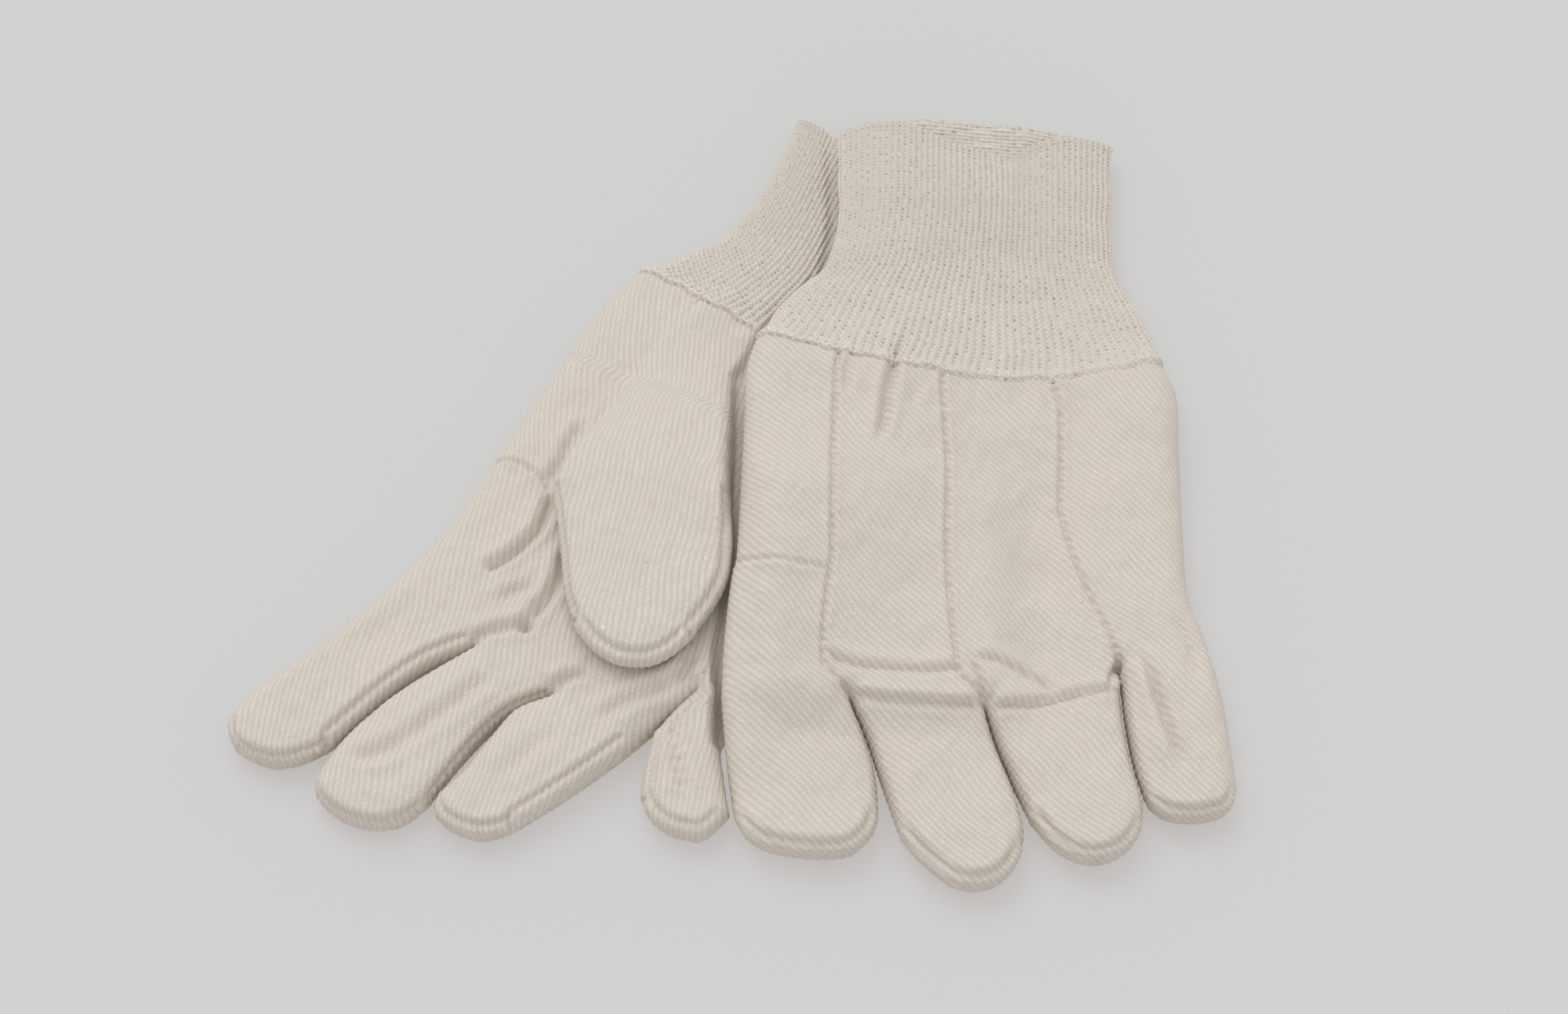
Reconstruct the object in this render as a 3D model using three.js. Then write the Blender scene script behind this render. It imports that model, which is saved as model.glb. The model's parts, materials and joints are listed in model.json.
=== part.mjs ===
// A pair of cotton work gloves with knit wrists, laid down as a pair. Millimetres, +Z up.
// The right glove lies palm up on the surface. The left glove lies back up, partly on top of it.
// Each glove is a shell of sewn panels: an upper and a lower sheet that meet at the glove's edges.
import * as THREE from 'three';

const CLOTH = 1.2;            // thickness of the cotton cloth
const SEAM_GAP = 0.5;         // daylight between two panels along a seam
const EDGE_GAP = 0.4;         // between the upper and the lower sheet where they meet at an edge
const LIFT = 12;              // how far the right glove holds the left one up
const LAY_GAP = 0.8;          // between the two gloves where one lies on the other
const EDGE_Z = 6;             // height of a glove's side seams over what it lies on
const CROWN = 8;              // rise of the upper sheet over the side seams
const BELLY = 8;              // fall of the lower sheet under the side seams, where the surface lets it
const FLAT_MIDDLE = 2.5;      // middle of the left thumb over what it lies on; it is pressed flat
const FLAT_CROWN = 0.9;       // rise and fall of its sheets
const THUMB_ROOM = 6;         // room under the left palm for its flattened thumb
const SEAM_WIDE = 3;          // an overlocked seam allowance
const SEAM_THICK = 0.8;
const SEAM_DEPTH = 2.9;       // from a panel's outer face to the middle of the seam allowance inside it
const CUFF_MIDDLE = 6.3;      // middle of a knit cuff over what it lies on
const CUFF_HALF = 6.7;        // half of the cuff's thickness at its middle
const THUMB_SWELL = 11;       // rise of the right glove's heel into its thumb
const MIDDLE_X = 0.7;         // puts the origin under the middle of the pair

const COTTON = { color: 0xcfc6bc, roughness: 0.95, metalness: 0 };
const KNIT = { color: 0xd2c8bd, roughness: 0.97, metalness: 0 };
const THREAD = { color: 0xd8d0c4, roughness: 0.9, metalness: 0 };

const pair = new THREE.Group();

// ---------------------------------------------------------------- small helpers

const mix = (a, b, t) => a + (b - a) * t;
const clamp = (x, lo, hi) => Math.min(hi, Math.max(lo, x));

function ease(from, to, x) {
  const t = clamp((x - from) / (to - from), 0, 1);
  return t * t * (3 - 2 * t);
}

// A value read off a list of [place, value] knots, straight between them.
function knots(list, x) {
  if (x <= list[0][0]) return list[0][1];
  for (let i = 1; i < list.length; i++) {
    const [x0, y0] = list[i - 1];
    const [x1, y1] = list[i];
    if (x <= x1) return mix(y0, y1, (x - x0) / (x1 - x0));
  }
  return list[list.length - 1][1];
}

function steps(from, to, count) {
  return Array.from({ length: count + 1 }, (_, i) => mix(from, to, i / count));
}

// The plump cross-section of a sewn tube: 0 at its two edges (w = -1 and 1), 1 in the middle.
const plump = (w) => Math.sqrt(Math.max(0, 1 - Math.abs(w) ** 2.4));

function smoothLine(points) {
  const curve = new THREE.CatmullRomCurve3(points.map(([x, y]) => new THREE.Vector3(x, y, 0)));
  return (t) => curve.getPoint(t);
}

// ---------------------------------------------------------------- how the two gloves lie on each other

// The right glove's hidden edge and the left glove's visible edge: x of each for a y.
const UNDER_EDGE = [[-70, 7], [-55, 20], [-20, 48], [8, 69], [58, 68], [92, 84]];
const OVER_EDGE = [[-90, -2], [-60, -2], [-38, 0], [-21, 2], [32, 3], [54, 13], [70, 28], [86, 31]];

// Height of the ground that the left glove lies on: the right glove, sloping off to the floor.
function ground(x, y) {
  const edge = knots(UNDER_EDGE, y);
  return LIFT * (1 - ease(edge - 40, edge + 35, x)) * ease(-105, -65, y);
}

// 1 where the left glove covers the right one, 0 where it doesn't.
function covered(x, y) {
  const edge = knots(OVER_EDGE, y);
  return ease(edge - 9, edge - 1, x);
}

// The hump that the left glove's own thumb makes under its palm.
function thumbHump(x, y) {
  return THUMB_ROOM * ease(2, 16, x) * (1 - ease(72, 90, x)) * (1 - ease(-24, 12, y)) * ease(-90, -74, y);
}

// ---------------------------------------------------------------- the hand of a glove

// A finger's plan: rows of left and right points, from its hinge line to where its round tip begins.
const RIGHT_FINGERS = {
  index: { rows: [[[-94, -33], [-74, -57]], [[-108, -48], [-88, -66]], [[-121, -60], [-101, -77]],
    [[-136, -73], [-111, -88]]], tip: [-136, -91] },
  middle: { rows: [[[-71.5, -58.5], [-54, -76]], [[-86, -68.5], [-64, -82.5]],
    [[-98, -79], [-73, -91]], [[-112, -94], [-84, -103]]], tip: [-102, -113.5] },
  ring: { rows: [[[-46.5, -72], [-28, -89]], [[-62, -85], [-42, -101]], [[-78, -99], [-56, -111]]],
    tip: [-74, -116] },
  little: { rows: [[[-7, -74], [12, -67]], [[-14, -80.5], [3, -77]], [[-20, -85.7], [-3.5, -85.7]]] },
};
const RIGHT_LITTLE_END = { rows: [[[-20.4, -86.3], [-3.5, -86.3]], [[-24, -96], [-3.5, -97]],
  [[-25, -104], [-3.5, -106]]], tip: [-12, -117] };
const LEFT_FINGERS = {
  index: { rows: [[[-2.5, -76.5], [32, -71]], [[-2, -90], [36, -85]], [[0, -104], [40, -101]]],
    tip: [26, -122] },
  middle: { rows: [[[35, -79.5], [70, -74]], [[39, -93], [74.5, -90]], [[45, -112], [80, -108]]],
    tip: [66, -132] },
  ring: { rows: [[[72.5, -73.7], [106, -68.4]], [[76, -90], [109.5, -86]], [[80, -105], [113, -103]]],
    tip: [99, -124] },
  little: { rows: [[[108.5, -66.5], [134.5, -62]], [[111.5, -81], [138, -78]],
    [[115, -97], [140, -96]]], tip: [128, -111] },
};
const RIGHT_THUMB = { rows: [[[-52, -9.6], [0, -11.6]], [[-49, -28], [0, -28]], [[-46, -50], [-5, -47]]],
  tip: [-28, -69.5] };
const LEFT_THUMB = { rows: [[[18.6, -39.4], [62.6, -20.4]], [[26, -50], [67, -33]], [[36, -62], [71, -48]]],
  tip: [62, -70] };

const RIGHT_HAND = {
  left: [[-29, 73], [-47, 48], [-66, 14], [-80, -11], [-94, -33]],
  right: [[69, 8], [57, -8], [42, -27], [26, -49], [12, -67]],
  heelRow: [[-67.5, 4], [-55, -6], [-52, -9], [0, -11], [14, -16], [42.8, -27]],
  heelAt: 0.54,
  seamsAtWrist: [0.18, 0.44, 0.72],
};
const LEFT_HAND = {
  left: [[8.5, 42], [3.5, 25], [2.5, -8], [0.5, -40], [-2.5, -76.5]],
  right: [[127, 39], [131, 20], [130, -15], [131, -42], [134.5, -62]],
  heelRow: [[0, -36], [15, -39], [18, -38], [62, -19], [80, -19], [131, -24]],
  heelAt: 0.64,
  seamsAtWrist: [0.18, 0.44, 0.72],
};

// The hand: s runs from the wrist seam (0) to the knuckles (1), v across from the left edge to the right.
function makeHand(plan, fingers, onTop) {
  const left = smoothLine(plan.left);
  const right = smoothLine(plan.right);
  const list = Object.values(fingers);
  const ruled = (s, v) => left(s).lerp(right(s), v);

  // A broken line across the hand, as points with the v each one belongs to.
  function across(s, points) {
    const a = left(s);
    const chord = right(s).sub(a);
    const share = ([x, y]) => ((x - a.x) * chord.x + (y - a.y) * chord.y) / chord.lengthSq();
    return points.map((p) => ({ v: clamp(share(p), 0, 1), p }));
  }
  const knuckles = across(1, list.flatMap((f) => f.rows[0]));
  const heel = across(plan.heelAt, plan.heelRow);
  const at = (line, v) => new THREE.Vector3(
    knots(line.map(({ v: k, p }) => [k, p[0]]), v),
    knots(line.map(({ v: k, p }) => [k, p[1]]), v), 0);

  function place(s, v) {
    const p = ruled(s, v);
    const nearHeel = ease(plan.heelAt - 0.3, plan.heelAt, s)
      * (1 - ease(plan.heelAt, plan.heelAt + 0.3, s));
    const nearKnuckles = ease(plan.heelAt + 0.1, 1, s);
    p.addScaledVector(at(heel, v).sub(ruled(plan.heelAt, v)), nearHeel);
    p.addScaledVector(at(knuckles, v).sub(ruled(1, v)), nearKnuckles);
    return p;
  }

  // How full the section is: one broad dome at the wrist, one small dome for each finger at the knuckles.
  function fullness(s, v) {
    let finger = 0;
    for (let i = 0; i < knuckles.length; i += 2) {
      const [a, b] = [knuckles[i].v, knuckles[i + 1].v];
      if (v > a && v < b) finger = plump(2 * (v - a) / (b - a) - 1);
    }
    return mix(plump(2 * v - 1), finger, ease(0.5, 1, s));
  }
  return { place, fullness, knuckles, onTop, heelAt: plan.heelAt };
}

// A tube such as a finger: s runs from its hinge line (0) to its end (1), v across.
function makeTube(plan, onTop, options = {}) {
  const left = smoothLine(plan.rows.map((r) => r[0]));
  const right = smoothLine(plan.rows.map((r) => r[1]));
  const roundFrom = plan.tip ? 0.72 : 1;
  function place(s, v) {
    const along = Math.min(1, s / roundFrom);
    const a = left(along);
    const b = right(along);
    if (s <= roundFrom) return a.lerp(b, v);
    const angle = (s - roundFrom) / (1 - roundFrom) * Math.PI / 2;
    const middle = a.clone().lerp(b, 0.5);
    const half = b.sub(a).multiplyScalar(0.5 * Math.cos(angle));
    const tip = new THREE.Vector3(plan.tip[0], plan.tip[1], 0);
    return middle.clone().lerp(tip, Math.sin(angle)).addScaledVector(half, 2 * v - 1);
  }
  function fullness(s, v) {
    const end = plan.tip ? Math.sqrt(Math.max(0, 1 - ease(0.6, 1.02, s) ** 2)) : 1;
    return plump(2 * v - 1) * end;
  }
  return { place, fullness, onTop, ...options };
}

// ---------------------------------------------------------------- heights of the sheets

// At an edge, a sheet's outer face is this far from the middle between the two sheets.
const EDGE_HALF = CLOTH + EDGE_GAP / 2;

// Heights at a point of a piece: mid is the level of its side seams, top and bottom its sheets' outer faces.
function heights(piece, s, v) {
  const { x, y } = piece.place(s, v);
  const full = piece.fullness(s, v);
  if (piece.flatThumb) return flatHeights(x, y, full);
  return piece.onTop ? upperHeights(piece, x, y, full) : lowerHeights(piece, x, y, s, full);
}

// The left glove's thumb, pressed flat under its palm.
function flatHeights(x, y, full) {
  const mid = ground(x, y) + LAY_GAP + FLAT_MIDDLE;
  const reach = EDGE_HALF + full * FLAT_CROWN;
  return { x, y, mid, top: mid + reach, bottom: mid - reach };
}

// The left glove. Its heel panel hangs down over the start of the thumb, the rest passes over the thumb.
function upperHeights(piece, x, y, full) {
  const base = ground(x, y);
  const hump = thumbHump(x, y);
  const under = piece.overThumb === false ? 0 : hump;
  const mid = base + hump + EDGE_Z + LAY_GAP;
  const clear = mix(0.1, LAY_GAP, clamp(base / 2, 0, 1));
  const drop = BELLY - EDGE_HALF + hump - under;
  return {
    x, y, mid,
    top: mid + EDGE_HALF + (CROWN - EDGE_HALF) * full,
    bottom: Math.max(base + under + clear, mid - EDGE_HALF - drop * full),
  };
}

// The right glove, pressed thin where the left one covers it.
function lowerHeights(piece, x, y, s, full) {
  const cover = piece.uncovered ? 0 : covered(x, y);
  const limit = ground(x, y) - LAY_GAP;
  const rise = piece.baseZ ?? 0;
  const belly = piece.belly ?? BELLY;
  const mid = mix(EDGE_Z + rise, Math.min(EDGE_Z, limit / 2), cover);
  const swell = piece.thumbRise ? piece.thumbRise(x, y, s) : 0;
  const free = mid + EDGE_HALF + (CROWN - EDGE_HALF) * full + swell;
  return {
    x, y, mid,
    top: mix(free, Math.min(free, limit), cover),
    bottom: Math.max(rise, mid - EDGE_HALF - (belly - EDGE_HALF) * full),
  };
}

// A point of a sheet's outer face. Sides are 'top' and 'bottom'.
function outerPoint(piece, s, v, side) {
  const h = heights(piece, s, v);
  return [h.x, h.y, side === 'top' ? h.top : h.bottom];
}

// The height of a sheet's inner face.
function innerHeight(h, side) {
  if (side === 'top') return Math.max(h.mid + EDGE_GAP / 2, h.top - CLOTH);
  return Math.min(h.mid - EDGE_GAP / 2, h.bottom + CLOTH);
}

// ---------------------------------------------------------------- solids

function solid(points, faces) {
  const geometry = new THREE.BufferGeometry();
  geometry.setAttribute('position', new THREE.Float32BufferAttribute(points.flat(), 3));
  geometry.setIndex(faces.flat());
  return geometry;
}

// Joins two grids of points, an outer and an inner one, into one closed skin that faces outwards.
// With isRing, each row of the grids is a closed ring.
function closeSkin(outer, inner, isRing = false) {
  const rows = outer.length;
  const cols = outer[0].length;
  const points = [...outer.flat(), ...inner.flat()];
  const o = (i, j) => i * cols + (j % cols);
  const n = (i, j) => rows * cols + o(i, j);
  const last = rows - 1;
  const faces = [];
  const quad = (a, b, c, d) => faces.push([a, b, c], [a, c, d]);
  for (let j = 0; j < (isRing ? cols : cols - 1); j++) {
    for (let i = 0; i < last; i++) {
      quad(o(i, j), o(i, j + 1), o(i + 1, j + 1), o(i + 1, j));
      quad(n(i, j), n(i + 1, j), n(i + 1, j + 1), n(i, j + 1));
    }
    quad(o(0, j + 1), o(0, j), n(0, j), n(0, j + 1));
    quad(o(last, j), o(last, j + 1), n(last, j + 1), n(last, j));
  }
  for (let i = 0; !isRing && i < last; i++) {
    quad(o(i, 0), o(i + 1, 0), n(i + 1, 0), n(i, 0));
    quad(o(i + 1, cols - 1), o(i, cols - 1), n(i, cols - 1), n(i + 1, cols - 1));
  }
  return solid(points, volumeOf(points, faces) < 0 ? faces.map(([a, b, c]) => [a, c, b]) : faces);
}

// Six times the volume that the faces enclose, negative where they face inwards.
function volumeOf(points, faces) {
  return faces.reduce((sum, face) => {
    const [p, q, r] = face.map((k) => new THREE.Vector3(...points[k]));
    return sum + p.dot(q.cross(r));
  }, 0);
}

function add(name, geometry, look) {
  const mesh = new THREE.Mesh(geometry, new THREE.MeshStandardMaterial(look));
  mesh.name = name;
  pair.add(mesh);
}

// A panel of cloth. sList are its rows. columns are [side, v] going round the section, and v may be a
// function of s. Where the panel turns round an edge, its inner face is inset by the cloth.
function panel(name, piece, sList, columns) {
  const turnsWith = (other, [side, v]) => other !== undefined && other[1] === v && other[0] !== side;
  const turns = columns.map((column, j) => (
    turnsWith(columns[j - 1], column) || turnsWith(columns[j + 1], column)));
  const valueOf = (v, s) => (typeof v === 'function' ? v(s) : v);
  const outer = sList.map((s) => columns.map(([side, v]) => outerPoint(piece, s, valueOf(v, s), side)));
  const inner = sList.map((s) => {
    const insetShare = CLOTH / widthAt(piece, s);
    return columns.map(([side, v], j) => {
      const value = valueOf(v, s);
      const inset = turns[j] ? Math.sign(0.5 - value) * insetShare : 0;
      const [x, y] = outerPoint(piece, s, value + inset, side);
      return [x, y, innerHeight(heights(piece, s, value), side)];
    });
  });
  add(name, closeSkin(outer, inner), COTTON);
}

function widthAt(piece, s) {
  return Math.max(2.5 * CLOTH, piece.place(s, 0).distanceTo(piece.place(s, 1)));
}

// A seam allowance inside the glove: a flat ribbon between two paths of points (s, v), at a height level(h).
function ribbon(name, piece, pathA, pathB, level) {
  const skin = (up) => pathA.map((_, i) => [pathA[i], pathB[i]].map(([s, v]) => {
    const h = heights(piece, s, v);
    return [h.x, h.y, level(h) + up * SEAM_THICK / 2];
  }));
  add(name, closeSkin(skin(1), skin(-1)), THREAD);
}

// ---------------------------------------------------------------- a glove

// A finger is two panels, or one where the cloth wraps round its edge on the side given by wrap.
function finger(prefix, name, piece, wrap) {
  const rows = [0, 0.2, 0.42, 0.62, 0.76, 0.86, 0.94, 0.985];
  const rightward = steps(0, 1, 6);
  const leftward = steps(1, 0, 6);
  const on = (side, list) => list.map((v) => [side, v]);
  if (wrap === 'left') {
    panel(`${prefix}_${name}_finger`, piece, rows,
      [...on('bottom', leftward), ...on('top', rightward)]);
  } else if (wrap === 'right') {
    panel(`${prefix}_${name}_finger`, piece, rows,
      [...on('bottom', rightward), ...on('top', leftward)]);
  } else {
    const [front, rear] = piece.onTop ? ['bottom', 'top'] : ['top', 'bottom'];
    panel(`${prefix}_${name}_front`, piece, rows, on(front, rightward));
    panel(`${prefix}_${name}_back`, piece, rows, on(rear, rightward));
  }
  fingerSeam(`${prefix}_${name}_seam`, piece);
}

// The seam allowance that runs inside a finger up one side, round its tip and down the other side.
function fingerSeam(name, piece) {
  const start = 0.05;
  const [reach, spread] = piece.flatThumb ? [0.74, 0.33] : [0.84, 0.43];
  const wide = [0.07, 0.06];
  const bend = (inset) => steps(0.04, Math.PI - 0.04, 12).map((a) => [
    start + (reach - inset * wide[0]) * Math.sin(a) ** 0.5,
    0.5 - (spread - inset * wide[1]) * Math.cos(a),
  ]);
  ribbon(name, piece, bend(0), bend(1), (h) => h.mid);
}

function glove(prefix, plan, fingers, onTop) {
  const hand = makeHand(plan, fingers, onTop);
  const [up, down] = onTop ? ['bottom', 'top'] : ['top', 'bottom'];   // the palm's side and the back's side
  const k = hand.knuckles.map(({ v }) => v);
  const webs = [1, 3, 5].map((i) => (k[i] + k[i + 1]) / 2);

  // Columns fan out from the wrist to the knuckles. Each is named by its v at the knuckles.
  const fanKnots = [[0, 0], ...webs.map((w, i) => [w, plan.seamsAtWrist[i]]), [1, 1]];
  const fan = (end) => (s) => mix(knots(fanKnots, end), end, s);
  const column = (side, end) => [side, end === 0 || end === 1 ? end : fan(end)];
  const acrossFinger = (i) => steps(k[2 * i], k[2 * i + 1], 4);
  const all = [0, 1, 2, 3].flatMap(acrossFinger);
  const palmWidth = hand.place(1, 0).distanceTo(hand.place(1, 1));
  const gap = SEAM_GAP / 2 / palmWidth;

  const heelRows = [0.004, 0.16, 0.32, 0.48, plan.heelAt - 0.004];
  const palmRows = [plan.heelAt + 0.004, 0.72, 0.84, 0.93, 0.996];
  const wrapIn = [webs[0] - gap, ...acrossFinger(0).slice(1).reverse()].map((end) => column(down, end));
  panel(`${prefix}_heel_panel`, { ...hand, overThumb: false, thumbRise: onTop ? null : thumbRise }, heelRows,
    [...wrapIn, [down, 0], ...all.map((end) => column(up, end))]);
  panel(`${prefix}_palm_panel`, hand, palmRows, [...wrapIn, [down, 0], ...all.map((end) => column(up, end))]);

  // The three strips of the back, from the first back seam to the little finger's edge.
  ['back_middle_strip', 'back_ring_strip', 'back_little_strip'].forEach((name, i) => {
    const ends = [webs[i] + gap, ...acrossFinger(i + 1), ...(i < 2 ? [webs[i + 1] - gap] : [])];
    panel(`${prefix}_${name}`, hand, [...heelRows, ...palmRows], ends.map((end) => column(down, end)));
  });

  // Seam allowances inside: down the back, across the index side, and round the wrist.
  const inSide = (side) => (h) => (side === 'top' ? h.top - SEAM_DEPTH : h.bottom + SEAM_DEPTH);
  const half = SEAM_WIDE / 4 / palmWidth;
  webs.forEach((web, i) => {
    const path = (d) => steps(0.06, 0.8, 10).map((s) => [s, fan(web)(s) + d]);
    ribbon(`${prefix}_back_seam_${i + 1}`, hand, path(-half), path(half), inSide(down));
  });
  const crossTo = onTop ? webs[0] - 0.04 : 0.13;
  const cross = (s) => steps(0.05, crossTo, 3).map((v) => [s, v]);
  const crossHalf = SEAM_WIDE / 250;
  const [crossFrom, crossOn] = [plan.heelAt - crossHalf, plan.heelAt + crossHalf];
  ribbon(`${prefix}_cross_seam`, hand, cross(crossFrom), cross(crossOn), inSide('top'));
  const wristTo = onTop ? 0.94 : 0.5;
  const wrist = (s) => steps(0.06, wristTo, 10).map((v) => [s, v]);
  ribbon(`${prefix}_wrist_seam`, hand, wrist(0.012), wrist(0.04), inSide('top'));
}

// The swelling of the right glove's heel into its thumb.
function thumbRise(x, y, s) {
  return THUMB_SWELL * ease(-60, -44, x) * (1 - ease(-12, 1, x)) * ease(0.05, 0.5, s);
}

// ---------------------------------------------------------------- knit cuffs

// A knit cuff: a flattened tube from its open rim (first row) to the wrist seam (last row).
// At the rim its lower side reaches further out than its upper side, by rake each way.
function cuff(name, rows, onTop, rake) {
  const left = smoothLine(rows.map((r) => r[0]));
  const right = smoothLine(rows.map((r) => r[1]));
  const around = 20;
  const along = 6;
  const skin = (inside) => steps(0, 1, along).map((s) => {
    const a = left(s);
    const b = right(s);
    const chord = b.clone().sub(a);
    const out = new THREE.Vector3(-chord.y, chord.x, 0).normalize();
    return steps(0, 2 * Math.PI, around).map((angle) => {
      const w = Math.cos(angle) * (1 - inside * 2 * CLOTH / chord.length());
      const p = a.clone().lerp(b, 0.5 + 0.5 * w);
      p.addScaledVector(out, -rake * Math.sin(angle) * (1 - ease(0, 0.5, s)));
      const round = Math.sign(Math.sin(angle)) * Math.abs(Math.sin(angle)) ** 0.8;
      const h = cuffHeights(p.x, p.y, onTop);
      const z = round > 0 ? h.mid + (h.top - h.mid - inside * CLOTH) * round
        : h.mid + (h.mid - h.bottom - inside * CLOTH) * round;
      return [p.x, p.y, z];
    }).slice(0, around);
  });
  add(name, closeSkin(skin(0), skin(1), true), KNIT);
}

function cuffHeights(x, y, onTop) {
  const full = CUFF_MIDDLE + CUFF_HALF;
  if (onTop) {
    const base = ground(x, y) + LAY_GAP;
    return { mid: base + CUFF_MIDDLE, top: base + full, bottom: base };
  }
  const cover = covered(x, y);
  const limit = ground(x, y) - LAY_GAP;
  return {
    mid: mix(CUFF_MIDDLE, Math.min(CUFF_MIDDLE, limit / 2), cover),
    top: mix(full, Math.min(full, limit), cover),
    bottom: 0,
  };
}

// ---------------------------------------------------------------- the right glove, palm up, on the floor

glove('right', RIGHT_HAND, RIGHT_FINGERS, false);
finger('right', 'index', makeTube(RIGHT_FINGERS.index, false), 'left');
finger('right', 'middle', makeTube(RIGHT_FINGERS.middle, false));
finger('right', 'ring', makeTube(RIGHT_FINGERS.ring, false));
panel('right_little_finger_base', makeTube(RIGHT_FINGERS.little, false), steps(0, 1, 4),
  [...steps(0, 1, 5).map((v) => ['bottom', v]), ...steps(1, 0, 5).map((v) => ['top', v])]);
finger('right', 'little', makeTube(RIGHT_LITTLE_END, false, { uncovered: true }), 'right');
finger('right', 'thumb', makeTube(RIGHT_THUMB, false, { baseZ: 13.5, belly: 5, uncovered: true }));
cuff('right_knit_cuff', [[[19, 132], [84, 92]], [[9, 107], [74, 72]], [[-4, 89], [68, 48]],
  [[-18, 80.5], [67, 27]], [[-29, 74], [69.3, 9]]], false, 3);

// ---------------------------------------------------------------- the left glove, back up, on the right one

glove('left', LEFT_HAND, LEFT_FINGERS, true);
finger('left', 'index', makeTube(LEFT_FINGERS.index, true), 'left');
finger('left', 'middle', makeTube(LEFT_FINGERS.middle, true));
finger('left', 'ring', makeTube(LEFT_FINGERS.ring, true));
finger('left', 'little', makeTube(LEFT_FINGERS.little, true), 'right');
finger('left', 'thumb', makeTube(LEFT_THUMB, true, { flatThumb: true }));
cuff('left_knit_cuff', [[[32, 120], [116, 122]], [[32, 98], [114.5, 98]], [[31, 76], [114.5, 76]],
  [[18, 57], [121, 56]], [[8.7, 43], [127, 39.8]]], true, 7);

pair.position.x = MIDDLE_X;

export default pair;
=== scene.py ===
"""A pair of cotton work gloves with knit wrists, one palm up, the other back up and partly on top of it.

Each glove is one skin of cloth: a front (palm) sheet and a back sheet that meet at the glove's edges and at
the fingers' sides. The sheets are built as grids of points in millimetres in the CAD's frame, welded, given
their folds and seams by moving points along the skin's normals, and then cut into the real glove's panels.
"""
import json
import math

import bpy
import numpy as np
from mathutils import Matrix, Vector


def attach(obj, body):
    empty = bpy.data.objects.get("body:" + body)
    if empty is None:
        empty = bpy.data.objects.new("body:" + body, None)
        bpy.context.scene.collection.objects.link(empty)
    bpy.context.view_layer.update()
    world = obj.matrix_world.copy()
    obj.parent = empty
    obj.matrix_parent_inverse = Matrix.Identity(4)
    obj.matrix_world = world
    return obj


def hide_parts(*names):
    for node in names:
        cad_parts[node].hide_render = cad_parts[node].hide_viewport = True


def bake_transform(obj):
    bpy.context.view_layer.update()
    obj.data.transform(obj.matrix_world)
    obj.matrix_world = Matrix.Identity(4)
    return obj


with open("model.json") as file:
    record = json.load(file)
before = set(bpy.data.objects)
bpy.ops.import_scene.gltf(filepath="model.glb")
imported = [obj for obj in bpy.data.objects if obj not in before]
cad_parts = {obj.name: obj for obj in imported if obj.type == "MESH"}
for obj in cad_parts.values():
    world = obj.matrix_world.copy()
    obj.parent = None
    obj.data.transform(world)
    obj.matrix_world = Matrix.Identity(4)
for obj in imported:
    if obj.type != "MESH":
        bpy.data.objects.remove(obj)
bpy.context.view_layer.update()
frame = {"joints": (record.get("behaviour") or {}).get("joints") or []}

MM = 0.001
GRID = 0.55      # distance between the points of the skin
EDGE_Z = 6.0                            # height of a glove's side seams over what it lies on
RISE = 7.4                              # rise of a sheet over the side seams, and its fall under them
ROUND = 9.0                             # distance over which a sheet rounds off at its edges
FINGER_ROUND = 6.5                      # the same on a finger
LIFT = 12.0                             # how far the right glove holds the left one up
LAY_GAP = 0.8                           # between the two gloves
OVER_MARGIN = 2.6                       # how far short of the left glove's edge the right thumb's swell ends
THUMB_ROOM = 6.0                        # room for the left thumb under its palm
FLOOR_GAP = 0.3                         # between a sheet and what it lies on
TWILL = 1.7                             # distance between the lines of the twill
TWILL_HEIGHT = 0.1                      # height of those lines, to both sides
RIBS = 96                               # ribs round a knit cuff
RIB = 1.8                               # distance between them at the cuff's rim
RIB_STEPS = 5      # points across a rib
STITCH = 1.35                           # length of a knitted stitch
KNIT_THICK = 1.3                        # thickness of a cuff's wall
BEND_LENGTH = 14.0                      # distance from a bend's start to its end, as bend_of gives them


# ------------------------------------------------------------------ numbers and lines

def mix(a, b, t):
    return a + (b - a) * t


def ease(start, end, x):
    t = np.clip((np.asarray(x, float) - start) / (end - start), 0, 1)
    return t * t * (3 - 2 * t)


def knots(pairs, x):
    """A value read off (place, value) pairs, straight between them."""
    places, values = zip(*pairs)
    return np.interp(x, places, values)


def bell(x, width):
    return np.exp(-(x / width) ** 2)


def unit(vectors):
    return vectors / np.maximum(np.linalg.norm(vectors, axis=-1, keepdims=True), 1e-9)


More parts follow.
